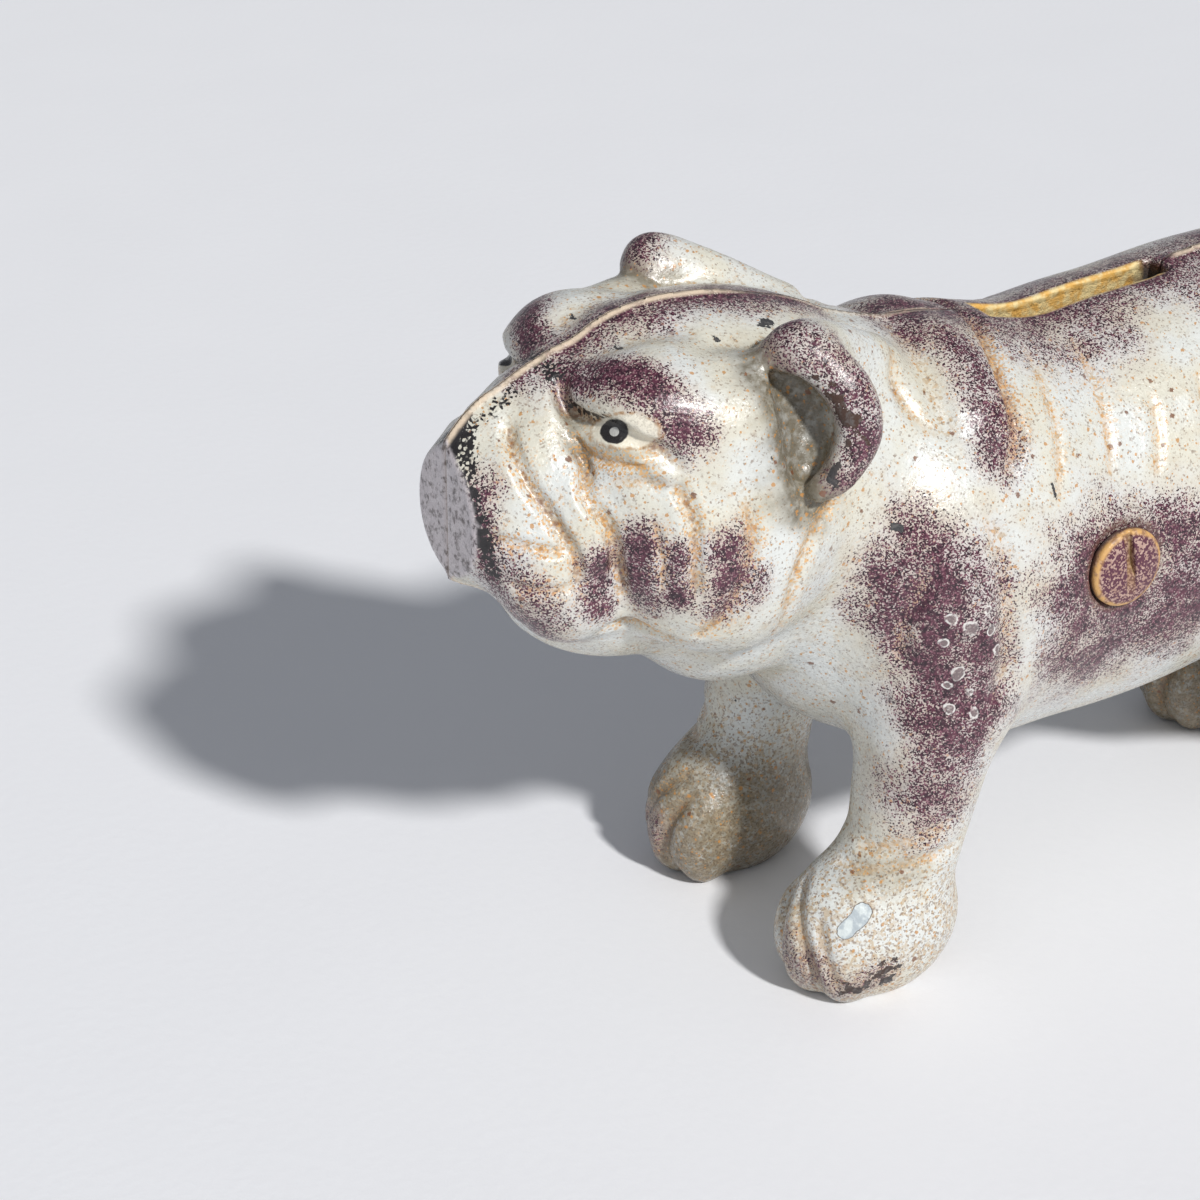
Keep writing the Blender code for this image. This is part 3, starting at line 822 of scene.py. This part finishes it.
def paint_half(piece, clay, bend, runs, scale, shift):
    """Stores what the enamel needs to know at each point: hollows, edges, sprayed patches, wear, and painted
    shade.
    """
    points = vertex_points(piece)
    is_left = points[:, 1].mean() < 0
    left = points if is_left else points * (1, -1, 1)
    form = (left - shift) / scale
    x, y, z = left.T
    depth = clay.sample(clay.d, form)
    inside = np.maximum(depth, np.maximum(MUZZLE_X - x, -z))
    curve = clay.sample(bend, form)
    hollow = -curve / 0.55
    rust, dust = fold_rust(form, runs)
    grime_and_shade = patches(clay, form, GRIME_AND_SHADE_PLACES)
    # The right half is the far side: its legs get more stain, partly dirt and partly painted shade of the
    # body's shadow.
    leg_stain_and_far_shade = smooth_step(40, 4, z) * (0.5 if is_left else 0.8)
    slot = slot_distance(x, y, z)
    in_slot = smooth_step(0.9, 0.35, slot)
    from_screw = np.sqrt((x - SCREW_X) ** 2 + (z - SCREW_Z) ** 2)
    ring = 1 - smooth_step(0.3, 0.9, np.abs(from_screw - HEAD_RADIUS - 0.6))
    values = {
        "hollow": hollow,
        "edge": curve / 0.9 - 0.15,
        "bare": smooth_step(0.5, 1.4, -inside),
        "rust": rust,
        "dust": dust,
        "plum": patches(clay, form, PLUM),
        "black": patches(clay, form, BLACK),
        "chip": patches(clay, form, CHIPS) * (1 if is_left else 0.8),
        "brown": patches(clay, form, BROWN_CHIPS),
        "scrape": patches(clay, form, SCRAPE) * is_left,
        "flash": seam_weight(x) * above_chest(z),
        "plate": smooth_step(MUZZLE_X + 0.5, MUZZLE_X + 0.15, x),
        "slot_wall": in_slot * smooth_step(-5.0, -3.0, depth) * smooth_step(31.6, 30.0, x),
        "slot_depth": in_slot * smooth_step(-2.5, -4.5, depth),
        "stain_and_shade": leg_stain_and_far_shade + smooth_step(0.6, 0.9, hollow) * 0.3,
        # On the right half the paws get more grime, partly dirt and partly painted shade of the body's
        # shadow.
        "grime_and_shade": grime_and_shade if is_left else np.maximum(grime_and_shade, 0.8 * smooth_step(27, 16, z)),
        "ring": ring * smooth_step(-24, -27, y) * is_left,
    }
    for name, value in values.items():
        store(piece, name, value)


# --- materials ------------------------------------------------------------------------------------


class Nodes:
    """Short words for making a material's nodes.  colour is what the coats laid so far come to."""

    def __init__(self, name):
        self.material = bpy.data.materials.new(name)
        self.material.use_nodes = True
        self.tree = self.material.node_tree
        self.shader = self.tree.nodes["Principled BSDF"]
        self.place = self.node("ShaderNodeTexCoord").outputs["Object"]
        self.colour = None

    def node(self, kind, **settings):
        made = self.tree.nodes.new(kind)
        for key, value in settings.items():
            setattr(made, key, value)
        return made

    def link(self, value, socket):
        if isinstance(value, bpy.types.NodeSocket):
            self.tree.links.new(value, socket)
        elif hasattr(value, "__len__") and len(value) == 3 and socket.type == "RGBA":
            socket.default_value = (*value, 1.0)
        else:
            socket.default_value = value

    def feed(self, values, made):
        """Links values to a node's inputs in their order."""
        for value, socket in zip(values, made.inputs):
            self.link(value, socket)

    def attribute(self, name):
        return self.node("ShaderNodeAttribute", attribute_name=name).outputs["Fac"]

    def calculate(self, operation, *values, clamp=False):
        made = self.node("ShaderNodeMath", operation=operation, use_clamp=clamp)
        self.feed(values, made)
        return made.outputs[0]

    times = partialmethod(calculate, "MULTIPLY")
    plus = partialmethod(calculate, "ADD")
    minus = partialmethod(calculate, "SUBTRACT")
    most = partialmethod(calculate, "MAXIMUM")
    size = partialmethod(calculate, "ABSOLUTE")
    scaled = partialmethod(calculate, "MULTIPLY_ADD")

    def noise(self, size_mm, detail=2.0, roughness=0.5):
        """Clouds about size_mm across, from 0 to 1."""
        made = self.node("ShaderNodeTexNoise")
        made.inputs["Scale"].default_value = 1 / (size_mm * MM)
        made.inputs["Detail"].default_value = detail
        made.inputs["Roughness"].default_value = roughness
        self.link(self.place, made.inputs["Vector"])
        return made.outputs["Fac"]

    def cells(self, size_mm):
        """Cells about size_mm across, each with a random colour."""
        made = self.node("ShaderNodeTexVoronoi")
        made.inputs["Scale"].default_value = 1 / (size_mm * MM)
        self.link(self.place, made.inputs["Vector"])
        return made

    def ramp(self, value, low, high, to_low=0.0, to_high=1.0):
        """Takes low..high to to_low..to_high, smoothly and clamped."""
        made = self.node("ShaderNodeMapRange", interpolation_type="SMOOTHSTEP")
        self.feed((value, low, high, to_low, to_high), made)
        return made.outputs[0]

    def clouds(self, size_mm, *ranges, **settings):
        """Soft-edged clouds: noise taken through a ramp."""
        return self.ramp(self.noise(size_mm, **settings), *ranges)

    def mix(self, share, first, second, kind="RGBA", sockets=(0, 6, 7), output=2):
        """The first colour where the share is 0, the second where it is 1."""
        made = self.node("ShaderNodeMix", data_type=kind)
        for value, number in zip((share, first, second), sockets):
            self.link(value, made.inputs[number])
        return made.outputs[output]

    def blend(self, share, first, second):
        """A mix of plain numbers."""
        return self.mix(share, first, second, "FLOAT", (0, 2, 3), 0)

    def cover(self, share, paint, strength=1.0):
        """Lays paint over the colour so far where its share is."""
        share = share if strength == 1.0 else self.times(share, strength)
        self.colour = self.mix(share, self.colour, paint)

    def split(self):
        """The x, y and z of a place."""
        made = self.node("ShaderNodeSeparateXYZ")
        self.link(self.place, made.inputs[0])
        return made.outputs

    def bump(self, height, distance_mm):
        made = self.node("ShaderNodeBump")
        made.inputs["Strength"].default_value = 1.0
        made.inputs["Distance"].default_value = distance_mm * MM
        self.link(height, made.inputs["Height"])
        self.link(made.outputs["Normal"], self.shader.inputs["Normal"])

    def finish(self, roughness, metallic=None):
        self.link(self.colour, self.shader.inputs["Base Color"])
        self.link(roughness, self.shader.inputs["Roughness"])
        if metallic is not None:
            self.link(metallic, self.shader.inputs["Metallic"])
        return self.material


# Paint and metal colours.
CREAM = (0.62, 0.60, 0.51)
PALE = (0.64, 0.66, 0.64)
BEIGE = (0.47, 0.35, 0.21)
# The dark brown of caked grime, also used as painted shade in the ear's cup and on the far paws.
GRIME_AND_SHADE_BROWN = (0.105, 0.082, 0.045)
FINE_DIRT_AND_SHADE = (0.20, 0.13, 0.09)
OCHRE = (0.48, 0.22, 0.05)
RUST_LINE = (0.66, 0.35, 0.10)
DARK_RUST = (0.16, 0.055, 0.018)
DEEP_PLUM = (0.022, 0.007, 0.014)
RED_PLUM = (0.095, 0.024, 0.045)
PINKISH = (0.43, 0.30, 0.285)
MAUVE = (0.26, 0.12, 0.15)
BLISTER = (0.21, 0.17, 0.17)
BLISTER_RIM = (0.72, 0.71, 0.68)
BLACK_PAINT = (0.018, 0.016, 0.017)
FLASH = (0.70, 0.57, 0.43)
# The muzzle's flat front: worn paint and its dark pits, its grey partly painted shade.
WORN_AND_SHADED_MUZZLE_GREYS = ((0.60, 0.55, 0.57), (0.10, 0.08, 0.085))
EYE_WHITE = (0.76, 0.72, 0.60)
EYE_LINE = (0.36, 0.19, 0.07)
EYE_PUPIL = (0.42, 0.42, 0.40)
IRON = (0.055, 0.055, 0.058)
LIGHT_IRON = (0.16, 0.15, 0.145)
BROWN = (0.075, 0.038, 0.026)
SCRAPE_EDGE = (0.10, 0.08, 0.07)
SCRAPE_BLUES = ((0.60, 0.65, 0.65), (0.40, 0.45, 0.48))
RAW_IRONS = ((0.065, 0.052, 0.045), (0.17, 0.075, 0.032))
SLOT_GOLDS = ((0.80, 0.47, 0.12), (0.90, 0.74, 0.38))
SCREW_RING = (0.16, 0.08, 0.06)
HEAD_PINKS = ((0.34, 0.20, 0.16), (0.46, 0.31, 0.26))
HEAD_RIM = (0.62, 0.36, 0.13)
HEAD_SIDE = (0.06, 0.03, 0.03)
HEAD_SLOT = (0.36, 0.22, 0.07)
SHANK_STEELS = ((0.17, 0.155, 0.14), (0.16, 0.075, 0.035))
NUT_STEELS = ((0.22, 0.20, 0.185), (0.34, 0.32, 0.30))
NUT_RUST = (0.20, 0.085, 0.032)
NUT_EDGE = (0.48, 0.45, 0.42)
FLOOR_WHITES = ((0.84, 0.85, 0.88), (0.87, 0.88, 0.91))

# Freckles: cell in mm, share of cells left without one, paint and its strength.
FRECKLES = ((0.9, 0.84, OCHRE, 0.8), (0.5, 0.84, OCHRE, 0.8), (1.4, 0.95, DARK_RUST, 0.85))

# The painted eye: its middle, and the directions along and up the almond.
EYE_CENTRE = (-70.3, -14.1, 95.7)
EYE_ALONG = (0.87, -0.50, 0.0)
EYE_UP = (0.23, 0.39, 0.89)
# Half its length and half its height in mm, for the almond, the iris and the pupil.
ALMOND = (4.6, 2.2)
IRIS = (1.85, 1.65)
PUPIL = (0.62, 0.6)


def speckle(n, density, grain_mm, sharpness=16.0):
    """Sprayed paint: its cover at each grain, more of them where the density is high, and their numbers."""
    grain = n.node("ShaderNodeSeparateColor")
    n.link(n.cells(grain_mm).outputs["Color"], grain.inputs[0])
    cloud = n.noise(3.0 * grain_mm, detail=3.0, roughness=0.7)
    level = n.scaled(cloud, 0.4, n.scaled(grain.outputs[0], 0.85, -0.125))
    over = n.plus(level, n.scaled(density, 1.1, -1.05))
    return n.scaled(over, sharpness, 0.5, clamp=True), grain.outputs[1]


def freckles(n, size_mm, share):
    """Small ragged dots, one in each cell whose own number passes the share."""
    cells = n.cells(size_mm)
    pick = n.node("ShaderNodeSeparateColor")
    n.link(cells.outputs["Color"], pick.inputs[0])
    chosen = n.ramp(pick.outputs[0], share, n.plus(share, 0.02))
    size = n.scaled(pick.outputs[1], 0.22, 0.12)
    ragged = n.scaled(n.noise(0.35, detail=3.0), 0.6, -0.3)
    gap = n.plus(cells.outputs["Distance"], ragged)
    return n.times(chosen, n.ramp(n.minus(gap, size), 0.06, -0.04))


def drip_rings(n):
    """The pale rim and the dull middle of each dried blister on the left side, as shares."""
    here = n.split()
    wobble = n.scaled(n.noise(1.3, detail=3.0), 1.2 * MM, -0.6 * MM)
    rims, middles = 0.0, 0.0
    for (x, _, z), radius in DRIPS:
        along, up = n.minus(here[0], x * MM), n.minus(here[2], z * MM)
        reach = n.calculate("SQRT", n.plus(n.times(along, along), n.times(up, up)))
        reach = n.plus(reach, wobble)
        rims = n.most(rims, n.ramp(n.size(n.minus(reach, radius * MM)), 0.22 * MM, 0.06 * MM))
        middles = n.most(middles, n.ramp(reach, radius * MM, (radius - 0.3) * MM))
    left = n.ramp(here[1], -20 * MM, -24 * MM)
    broken = n.times(left, n.clouds(0.8, 0.4, 0.55, 0.25, 1.0))
    return n.times(rims, broken), n.times(middles, left)


def eye_paint(n):
    """The white almond, the line round it (rust below, painted shade of the brow above), the dark iris and
    its pale pupil, as shares of each.
    """
    here = n.split()
    place = n.node("ShaderNodeCombineXYZ")
    n.feed((here[0], n.times(n.size(here[1]), -1.0), here[2]), place)
    offset = n.node("ShaderNodeVectorMath", operation="SUBTRACT")
    n.link(place.outputs[0], offset.inputs[0])
    offset.inputs[1].default_value = [value * MM for value in EYE_CENTRE]

    def reach(direction, half_mm, shift=0.0):
        dot = n.node("ShaderNodeVectorMath", operation="DOT_PRODUCT")
        n.link(offset.outputs[0], dot.inputs[0])
        dot.inputs[1].default_value = direction
        return n.scaled(dot.outputs["Value"], 1 / (half_mm * MM), shift)

    def ellipse(half_along, half_up, shift_along=0.0):
        along, up = reach(EYE_ALONG, half_along, shift_along), reach(EYE_UP, half_up)
        square = n.plus(n.times(along, along), n.times(up, up))
        return n.plus(square, n.scaled(n.noise(1.4), 0.5, -0.25))

    almond = ellipse(*ALMOND, shift_along=-0.3)
    lid = n.ramp(n.size(n.minus(almond, 1.1)), 0.35, 0.1)
    white, iris, pupil = (n.ramp(oval, 1.12, 0.88) for oval in (almond, ellipse(*IRIS), ellipse(*PUPIL)))
    return white, lid, iris, pupil


def enamel_material():
    n = Nodes("worn_cream_enamel")
    hollow, edge = n.attribute("hollow"), n.attribute("edge")
    stain_and_shade, rust, dust = n.attribute("stain_and_shade"), n.attribute("rust"), n.attribute("dust")
    from_seam = n.size(n.split()[1])
    on_joint = n.ramp(from_seam, 4 * JOINT_GAP * MM, 2 * JOINT_GAP * MM)
    bare = n.most(n.attribute("bare"), on_joint)

    n.colour = n.mix(n.clouds(9.0, 0.35, 0.65, detail=3.0), CREAM, PALE)
    mottled = n.clouds(3.0, 0.5, 0.8, detail=4.0, roughness=0.7)
    n.cover(mottled, BEIGE, 0.35)

    # Old dirt and stain, thicker on the legs and in hollows; in the ear's cup and on the far side's legs and
    # paws, partly painted shade.
    dirt_and_shade = n.plus(n.times(stain_and_shade, 0.75), n.times(hollow, 0.55))
    grime_and_shade, _ = speckle(n, n.plus(dirt_and_shade, 0.08, clamp=True), 0.5, 4.0)
    n.cover(grime_and_shade, BEIGE, 0.7)
    fine, _ = speckle(n, n.scaled(stain_and_shade, 0.25, 0.17), 0.26, 6.0)
    n.cover(fine, FINE_DIRT_AND_SHADE, 0.7)
    caked_grime_and_shade = n.times(n.attribute("grime_and_shade"), n.clouds(1.2, 0.25, 0.6, 0.62, 1.0, detail=4.0))
    n.cover(caked_grime_and_shade, GRIME_AND_SHADE_BROWN, 0.88)

    # Scattered ochre freckles and the rust that sits in the folds.
    for size, share, paint, strength in FRECKLES:
        n.cover(freckles(n, size, n.scaled(dust, -0.25, share)), paint, strength)
    dusted, _ = speckle(n, n.scaled(dust, 0.4, 0.05), 0.3, 5.0)
    n.cover(dusted, RUST_LINE, 0.75)
    line = n.times(rust, n.clouds(1.6, 0.38, 0.58, 0.1, 1.5, detail=4.0, roughness=0.7))
    n.cover(line, n.mix(n.noise(0.7), RUST_LINE, OCHRE))
    deep = n.times(n.ramp(hollow, 0.55, 1.0), n.clouds(0.8, 0.4, 0.62, detail=3.0))
    n.cover(deep, DARK_RUST, 0.75)

    # Airbrushed plum, and the blisters in it.
    plum_share = n.attribute("plum")
    uneven = n.times(plum_share, n.clouds(5.0, 0.3, 0.65, 0.7, 1.1))
    worn_share = n.minus(uneven, n.times(rust, 0.5), clamp=True)
    sprayed, number = speckle(n, n.times(worn_share, 0.84), 0.2, 7.0)
    sprayed = n.times(sprayed, n.ramp(plum_share, 0.02, 0.12))
    plum = n.mix(n.clouds(0.9, 0.35, 0.7), DEEP_PLUM, RED_PLUM)
    plum = n.mix(n.ramp(number, 0.7, 1.0), plum, MAUVE)
    n.cover(worn_share, PINKISH, 0.72)
    n.cover(sprayed, plum)
    rims, middles = drip_rings(n)
    n.cover(middles, BLISTER, 0.75)
    n.cover(rims, BLISTER_RIM, 0.85)

    # Black on the nose and lips.
    black, _ = speckle(n, n.attribute("black"), 0.4, 9.0)
    n.cover(n.times(black, n.ramp(n.attribute("black"), 0.02, 0.15)), BLACK_PAINT)

    # The rubbed flash along the seam, and the grey of the muzzle's flat front: worn paint with dark pits,
    # partly painted shade of the flat.
    crest = n.ramp(from_seam, 1.0 * MM, 0.45 * MM)
    rubbed = n.clouds(2.0, 0.3, 0.5, 0.55, 1.0, detail=3.0)
    flash = n.times(n.times(n.attribute("flash"), crest), rubbed)
    n.cover(flash, FLASH, 0.95)
    worn_and_shaded_grey = n.mix(n.clouds(1.1, 0.46, 0.66, detail=4.0, roughness=0.7), *WORN_AND_SHADED_MUZZLE_GREYS)
    n.cover(n.attribute("plate"), worn_and_shaded_grey, 0.92)

    # The painted eye.
    white, lid, iris, pupil = eye_paint(n)
    n.cover(white, EYE_WHITE, 0.8)
    # The line round the almond: rust along the lower lid, and painted shade under the brow along the upper
    # lid.
    lid = n.times(lid, n.clouds(0.9, 0.4, 0.65, 0.0, 0.7, detail=3.0))
    for share, paint in ((lid, EYE_LINE), (iris, BLACK_PAINT), (pupil, EYE_PUPIL)):
        n.cover(share, paint)

    # Chips down to the iron, and the blue scrape on the paw.
    chip_field = n.scaled(n.attribute("chip"), 0.30, n.noise(1.7, detail=4.0, roughness=0.6))
    chip = n.ramp(n.scaled(edge, 0.035, chip_field), 0.735, 0.755)
    iron = n.mix(n.attribute("brown"), IRON, BROWN)
    iron = n.mix(n.clouds(0.7, 0.45, 0.7, 0.0, 0.6, detail=3.0), iron, LIGHT_IRON)
    n.cover(chip, iron)
    scrape = n.scaled(n.noise(1.6, detail=3.0), 0.35, n.attribute("scrape"))
    n.cover(n.ramp(scrape, 0.55, 0.62), SCRAPE_EDGE)
    blue = n.mix(n.clouds(1.5, 0.42, 0.58), *SCRAPE_BLUES)
    n.cover(n.ramp(scrape, 0.62, 0.66), blue)

    # Raw iron inside, rust in the coin slot and round the screw head.
    n.cover(bare, n.mix(n.clouds(2.2, 0.4, 0.65, detail=4.0), *RAW_IRONS))
    n.cover(n.attribute("slot_depth"), IRON, 0.9)
    gold = n.mix(n.clouds(1.6, 0.35, 0.65, detail=3.0), *SLOT_GOLDS)
    n.cover(n.attribute("slot_wall"), gold, 0.95)
    ring = n.times(n.attribute("ring"), n.clouds(1.2, 0.3, 0.5, 0.3, 1.0, detail=3.0))
    n.cover(ring, SCREW_RING, 0.6)

    roughness = n.clouds(0.8, 0.3, 0.75, 0.22, 0.46, detail=3.0)
    roughness = n.blend(sprayed, roughness, 0.30)
    roughness = n.blend(n.most(chip, n.most(bare, line), clamp=True), roughness, 0.62)
    metallic = n.times(n.most(chip, bare), 0.35)

    orange_peel = n.noise(0.75, detail=3.0, roughness=0.6)
    lumps = n.times(n.noise(3.2), 1.6)
    coat = n.plus(n.times(chip, -1.1), n.times(sprayed, 0.25))
    sand = n.times(n.noise(1.1, detail=5.0, roughness=0.75), n.times(bare, 5.0))
    n.bump(n.plus(n.plus(orange_peel, lumps), n.plus(coat, sand)), 0.13)
    n.shader.inputs["Coat Weight"].default_value = 0.1
    n.shader.inputs["Coat Roughness"].default_value = 0.18
    return n.finish(roughness, metallic)


def screw_material():
    """Plum paint over a golden wash on the head, oily dark steel on the thread."""
    n = Nodes("speckled_screw_paint")
    bare = n.attribute("bare")
    n.colour = n.mix(n.clouds(1.4, 0.35, 0.65, detail=3.0), *HEAD_PINKS)
    n.cover(speckle(n, 0.58, 0.28)[0], RED_PLUM)
    rim = n.times(n.attribute("rim"), n.clouds(1.3, 0.35, 0.55, 0.5, 1.2, detail=3.0))
    n.cover(rim, HEAD_RIM, 0.9)
    n.cover(n.attribute("side"), HEAD_SIDE, 0.8)
    n.cover(n.attribute("hollow"), HEAD_SLOT, 0.85)
    n.cover(bare, n.mix(n.clouds(1.5, 0.4, 0.65, detail=4.0), *SHANK_STEELS))
    roughness = n.clouds(0.9, 0.3, 0.7, 0.28, 0.5, detail=3.0)
    n.bump(n.noise(0.6, detail=4.0, roughness=0.65), 0.1)
    return n.finish(roughness, n.times(bare, 0.8))


def nut_material():
    """Dull steel with rust in patches."""
    n = Nodes("rusty_nut_steel")
    patch = n.clouds(2.4, 0.42, 0.6, detail=4.0, roughness=0.65)
    n.colour = n.mix(n.clouds(0.8, 0.3, 0.7, detail=3.0), *NUT_STEELS)
    n.cover(patch, NUT_RUST)
    n.cover(n.attribute("edge"), NUT_EDGE, 0.7)
    roughness = n.blend(patch, 0.38, 0.75)
    metallic = n.blend(patch, 0.85, 0.15)
    n.bump(n.noise(0.7, detail=4.0, roughness=0.7), 0.12)
    return n.finish(roughness, metallic)


def floor_material():
    n = Nodes("pale_floor")
    n.colour = n.mix(n.noise(40.0, detail=3.0), *FLOOR_WHITES)
    n.bump(n.noise(2.0, detail=3.0), 0.05)
    return n.finish(0.55)


# --- pieces ------------------------------------------------------------------------------------

def make_halves():
    clay, runs = model_dog()
    scale, shift = fit_to_frame(clay)
    core = hollow_distance()
    bend = blurred(clay.d, BEND_PASSES)
    material = enamel_material()
    for side, name, body in ((-1, "left_casting", "left_half"), (1, "right_casting", "right_half")):
        half = machine_half(clay, core, scale, shift, side)
        points, quads = half.mesh()
        points = sharpen_joint(half, clay, points, scale)
        points = points * scale + shift
        points = np.clip(points, np.array(CAD_LOW) / MM, np.array(CAD_HIGH) / MM)
        if side > 0:
            points = points * (1, -1, 1)
            quads = quads[:, ::-1]
        piece = thinned(new_piece(f"painted_{name}", points, quads, material), MOST_TRIANGLES)
        keep_in_frame(piece)
        crisp_flats(piece)
        paint_half(piece, clay, bend, runs, scale, shift)
        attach(piece, body)
        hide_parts(name)


def thread_distance(x, y, z, radius, depth):
    """A rod along Y with a single V thread."""
    across = np.sqrt(x**2 + z**2)
    turn = np.arctan2(z, x) / (2 * math.pi)
    tooth = np.abs(((y / THREAD_PITCH - turn) % 1.0) - 0.5) * 2
    return across - (radius - depth * tooth)


def make_fitting(name, clay, material, passes):
    """A piece made round the screw's axis, its points from there, and how strongly each one bends."""
    axis = (SCREW_X, 0, SCREW_Z)
    points, quads = clay.mesh()
    piece = thinned(new_piece(name, points + axis, quads, material), MOST_FITTING_TRIANGLES)
    points = vertex_points(piece) - axis
    return piece, points, clay.sample(blurred(clay.d, passes), points)


def make_screw():
    """Head with a drive slot half filled by paint, plain neck and a cut thread to the tip."""
    under_head = HEAD_SEAT_Y - CLEARANCE
    clay = Clay((-7, under_head - 4, -7), (7, SHANK_TIP_Y + 1, 7), FITTING_STEP)
    cut, x, y, z = clay.whole()
    outward = under_head - y
    reach = np.sqrt(x**2 + z**2)
    crown = HEAD_EDGE + HEAD_CROWN * np.sqrt(np.clip(1 - (reach / HEAD_RADIUS) ** 2, 0, 1))
    head = np.maximum(np.maximum(reach - HEAD_RADIUS, -outward), (outward - crown) * 0.9)
    across = x * math.cos(DRIVE_SLOT_TURN) - z * math.sin(DRIVE_SLOT_TURN)
    open_depth = DRIVE_SLOT[1] * (0.35 + 0.65 * smooth_step(-1.5, 1.0, z))
    slot = np.maximum(np.abs(across) - DRIVE_SLOT[0] / 2, HEAD_EDGE + HEAD_CROWN - open_depth - outward)
    thread = thread_distance(x, y, z, SHANK_RADIUS, THREAD_DEPTH)
    plain = reach - SHANK_RADIUS
    threaded = smooth_step(under_head + NECK[0], under_head + NECK[1], y)
    shank = plain * (1 - threaded) + thread * threaded
    tip = (reach - SHANK_RADIUS + TIP_BEVEL + (y - SHANK_TIP_Y)) * 0.7
    shank = np.maximum(np.maximum(shank, tip), np.maximum(under_head - 0.5 - y, y - SHANK_TIP_Y))
    clay.d = np.minimum(head, shank).astype(np.float32)
    clay.take(cut, slot, 0.25)
    piece, points, bend = make_fitting("threaded_clamp_screw", clay, screw_material(), SCREW_BEND_PASSES)
    reach = np.hypot(points[:, 0], points[:, 2])
    store(piece, "bare", smooth_step(under_head - 0.7, under_head + 0.2, points[:, 1]))
    store(piece, "hollow", -bend / 0.15)
    edge_height = under_head - HEAD_EDGE
    at_edge = smooth_step(edge_height + 0.6, edge_height + 0.2, points[:, 1])
    store(piece, "rim", smooth_step(HEAD_RADIUS - 0.85, HEAD_RADIUS - 0.35, reach) * at_edge)
    store(piece, "side", smooth_step(edge_height + 0.2, edge_height + 0.6, points[:, 1]))
    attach(piece, "clamp_screw")
    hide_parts("clamp_screw")


def make_nut():
    """Square nut, its corners turned off on the outer face, with the thread showing in its hole."""
    half = NUT_WIDTH / 2
    seat = NUT_SEAT_Y + CLEARANCE
    outer = seat + NUT_THICKNESS
    clay = Clay((-half - 1, seat - 1, -half - 1), (half + 1, outer + 1, half + 1), FITTING_STEP)
    cut, x, y, z = clay.whole()
    clay.d = box_distance(x, y, z, (0, seat + NUT_THICKNESS / 2, 0), (half, NUT_THICKNESS / 2, half))
    reach = np.sqrt(x**2 + z**2)
    turned = (reach - half - 0.5 + 1.6 * (y - outer + 0.4)) * 0.53
    clay.take(cut, -turned, 0.2)
    hole = thread_distance(x, y, z, SHANK_RADIUS + CLEARANCE, 0.35)
    countersink = reach - SHANK_RADIUS - CLEARANCE - 0.6 + np.minimum(outer - y, y - seat)
    clay.take(cut, np.minimum(hole, countersink * 0.7), 0.1)
    clay.d = clay.d.astype(np.float32)
    piece, _, bend = make_fitting("threaded_square_nut", clay, nut_material(), NUT_BEND_PASSES)
    store(piece, "edge", bend / 0.12 - 0.2)
    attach(piece, "right_half")
    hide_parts("square_nut")


# --- camera, floor and light -----------------------------------------------------------------------

CAMERA_AZIMUTH = -29.77
CAMERA_ELEVATION = 27.07
CAMERA_TARGET = (-64.4, 0.0, 63.05)
CAMERA_DISTANCE = 435.9
CAMERA_VIEW = math.radians(22)
SENSOR = 36.0
KEY_FROM = (0.06, -0.77, 0.63)
KEY_STRENGTH = 3.3
KEY_SOFTNESS = math.radians(5)
KEY_COLOUR = (1.0, 0.985, 0.965)
FILL_FROM = (-0.75, -0.5, 0.45)
FILL_STRENGTH = 2.0
FILL_SIZE = 1.2
FILL_COLOUR = (0.93, 0.95, 1.0)
LIGHT_DISTANCE = 1.6
SKY_STRENGTH = 0.26
SKY_COLOUR = (0.88, 0.92, 1.0, 1.0)
FLOOR_WIDTH = 6.0


def backward(azimuth, elevation):
    """The direction from the object to a viewer; azimuth 0 looks along +Y."""
    a, e = math.radians(azimuth), math.radians(elevation)
    return Vector((math.sin(a) * math.cos(e), -math.cos(a) * math.cos(e), math.sin(e)))


def make_camera():
    data = bpy.data.cameras.new("camera")
    data.sensor_width = SENSOR
    data.lens = SENSOR / 2 / math.tan(CAMERA_VIEW / 2)
    data.clip_start = 0.01
    camera = bpy.data.objects.new("camera", data)
    bpy.context.scene.collection.objects.link(camera)
    back = backward(CAMERA_AZIMUTH, CAMERA_ELEVATION)
    camera.location = (Vector(CAMERA_TARGET) + back * CAMERA_DISTANCE) * MM
    camera.rotation_mode = "QUATERNION"
    camera.rotation_quaternion = back.to_track_quat("Z", "Y")
    bpy.context.scene.camera = camera


def make_floor():
    bpy.ops.mesh.primitive_plane_add(size=FLOOR_WIDTH)
    floor = bpy.context.object
    floor.name = "floor"
    floor.data.materials.append(floor_material())


def make_light(name, kind, towards, strength, colour, **settings):
    """Adds a light that shines on the object from a direction."""
    data = bpy.data.lights.new(name, kind)
    data.energy = strength
    data.color = colour
    for key, value in settings.items():
        setattr(data, key, value)
    light = bpy.data.objects.new(name, data)
    direction = Vector(towards).normalized()
    light.location = direction * LIGHT_DISTANCE
    light.rotation_mode = "QUATERNION"
    light.rotation_quaternion = direction.to_track_quat("Z", "Y")
    bpy.context.scene.collection.objects.link(light)


def make_lights():
    world = bpy.data.worlds.new("studio")
    bpy.context.scene.world = world
    world.use_nodes = True
    background = world.node_tree.nodes["Background"]
    background.inputs[0].default_value = SKY_COLOUR
    background.inputs[1].default_value = SKY_STRENGTH
    make_light("key", "SUN", KEY_FROM, KEY_STRENGTH, KEY_COLOUR, angle=KEY_SOFTNESS)
    make_light("fill", "AREA", FILL_FROM, FILL_STRENGTH, FILL_COLOUR, size=FILL_SIZE)
    bpy.context.scene.view_settings.view_transform = "Standard"


make_camera()
make_floor()
make_lights()
make_halves()
make_screw()
make_nut()
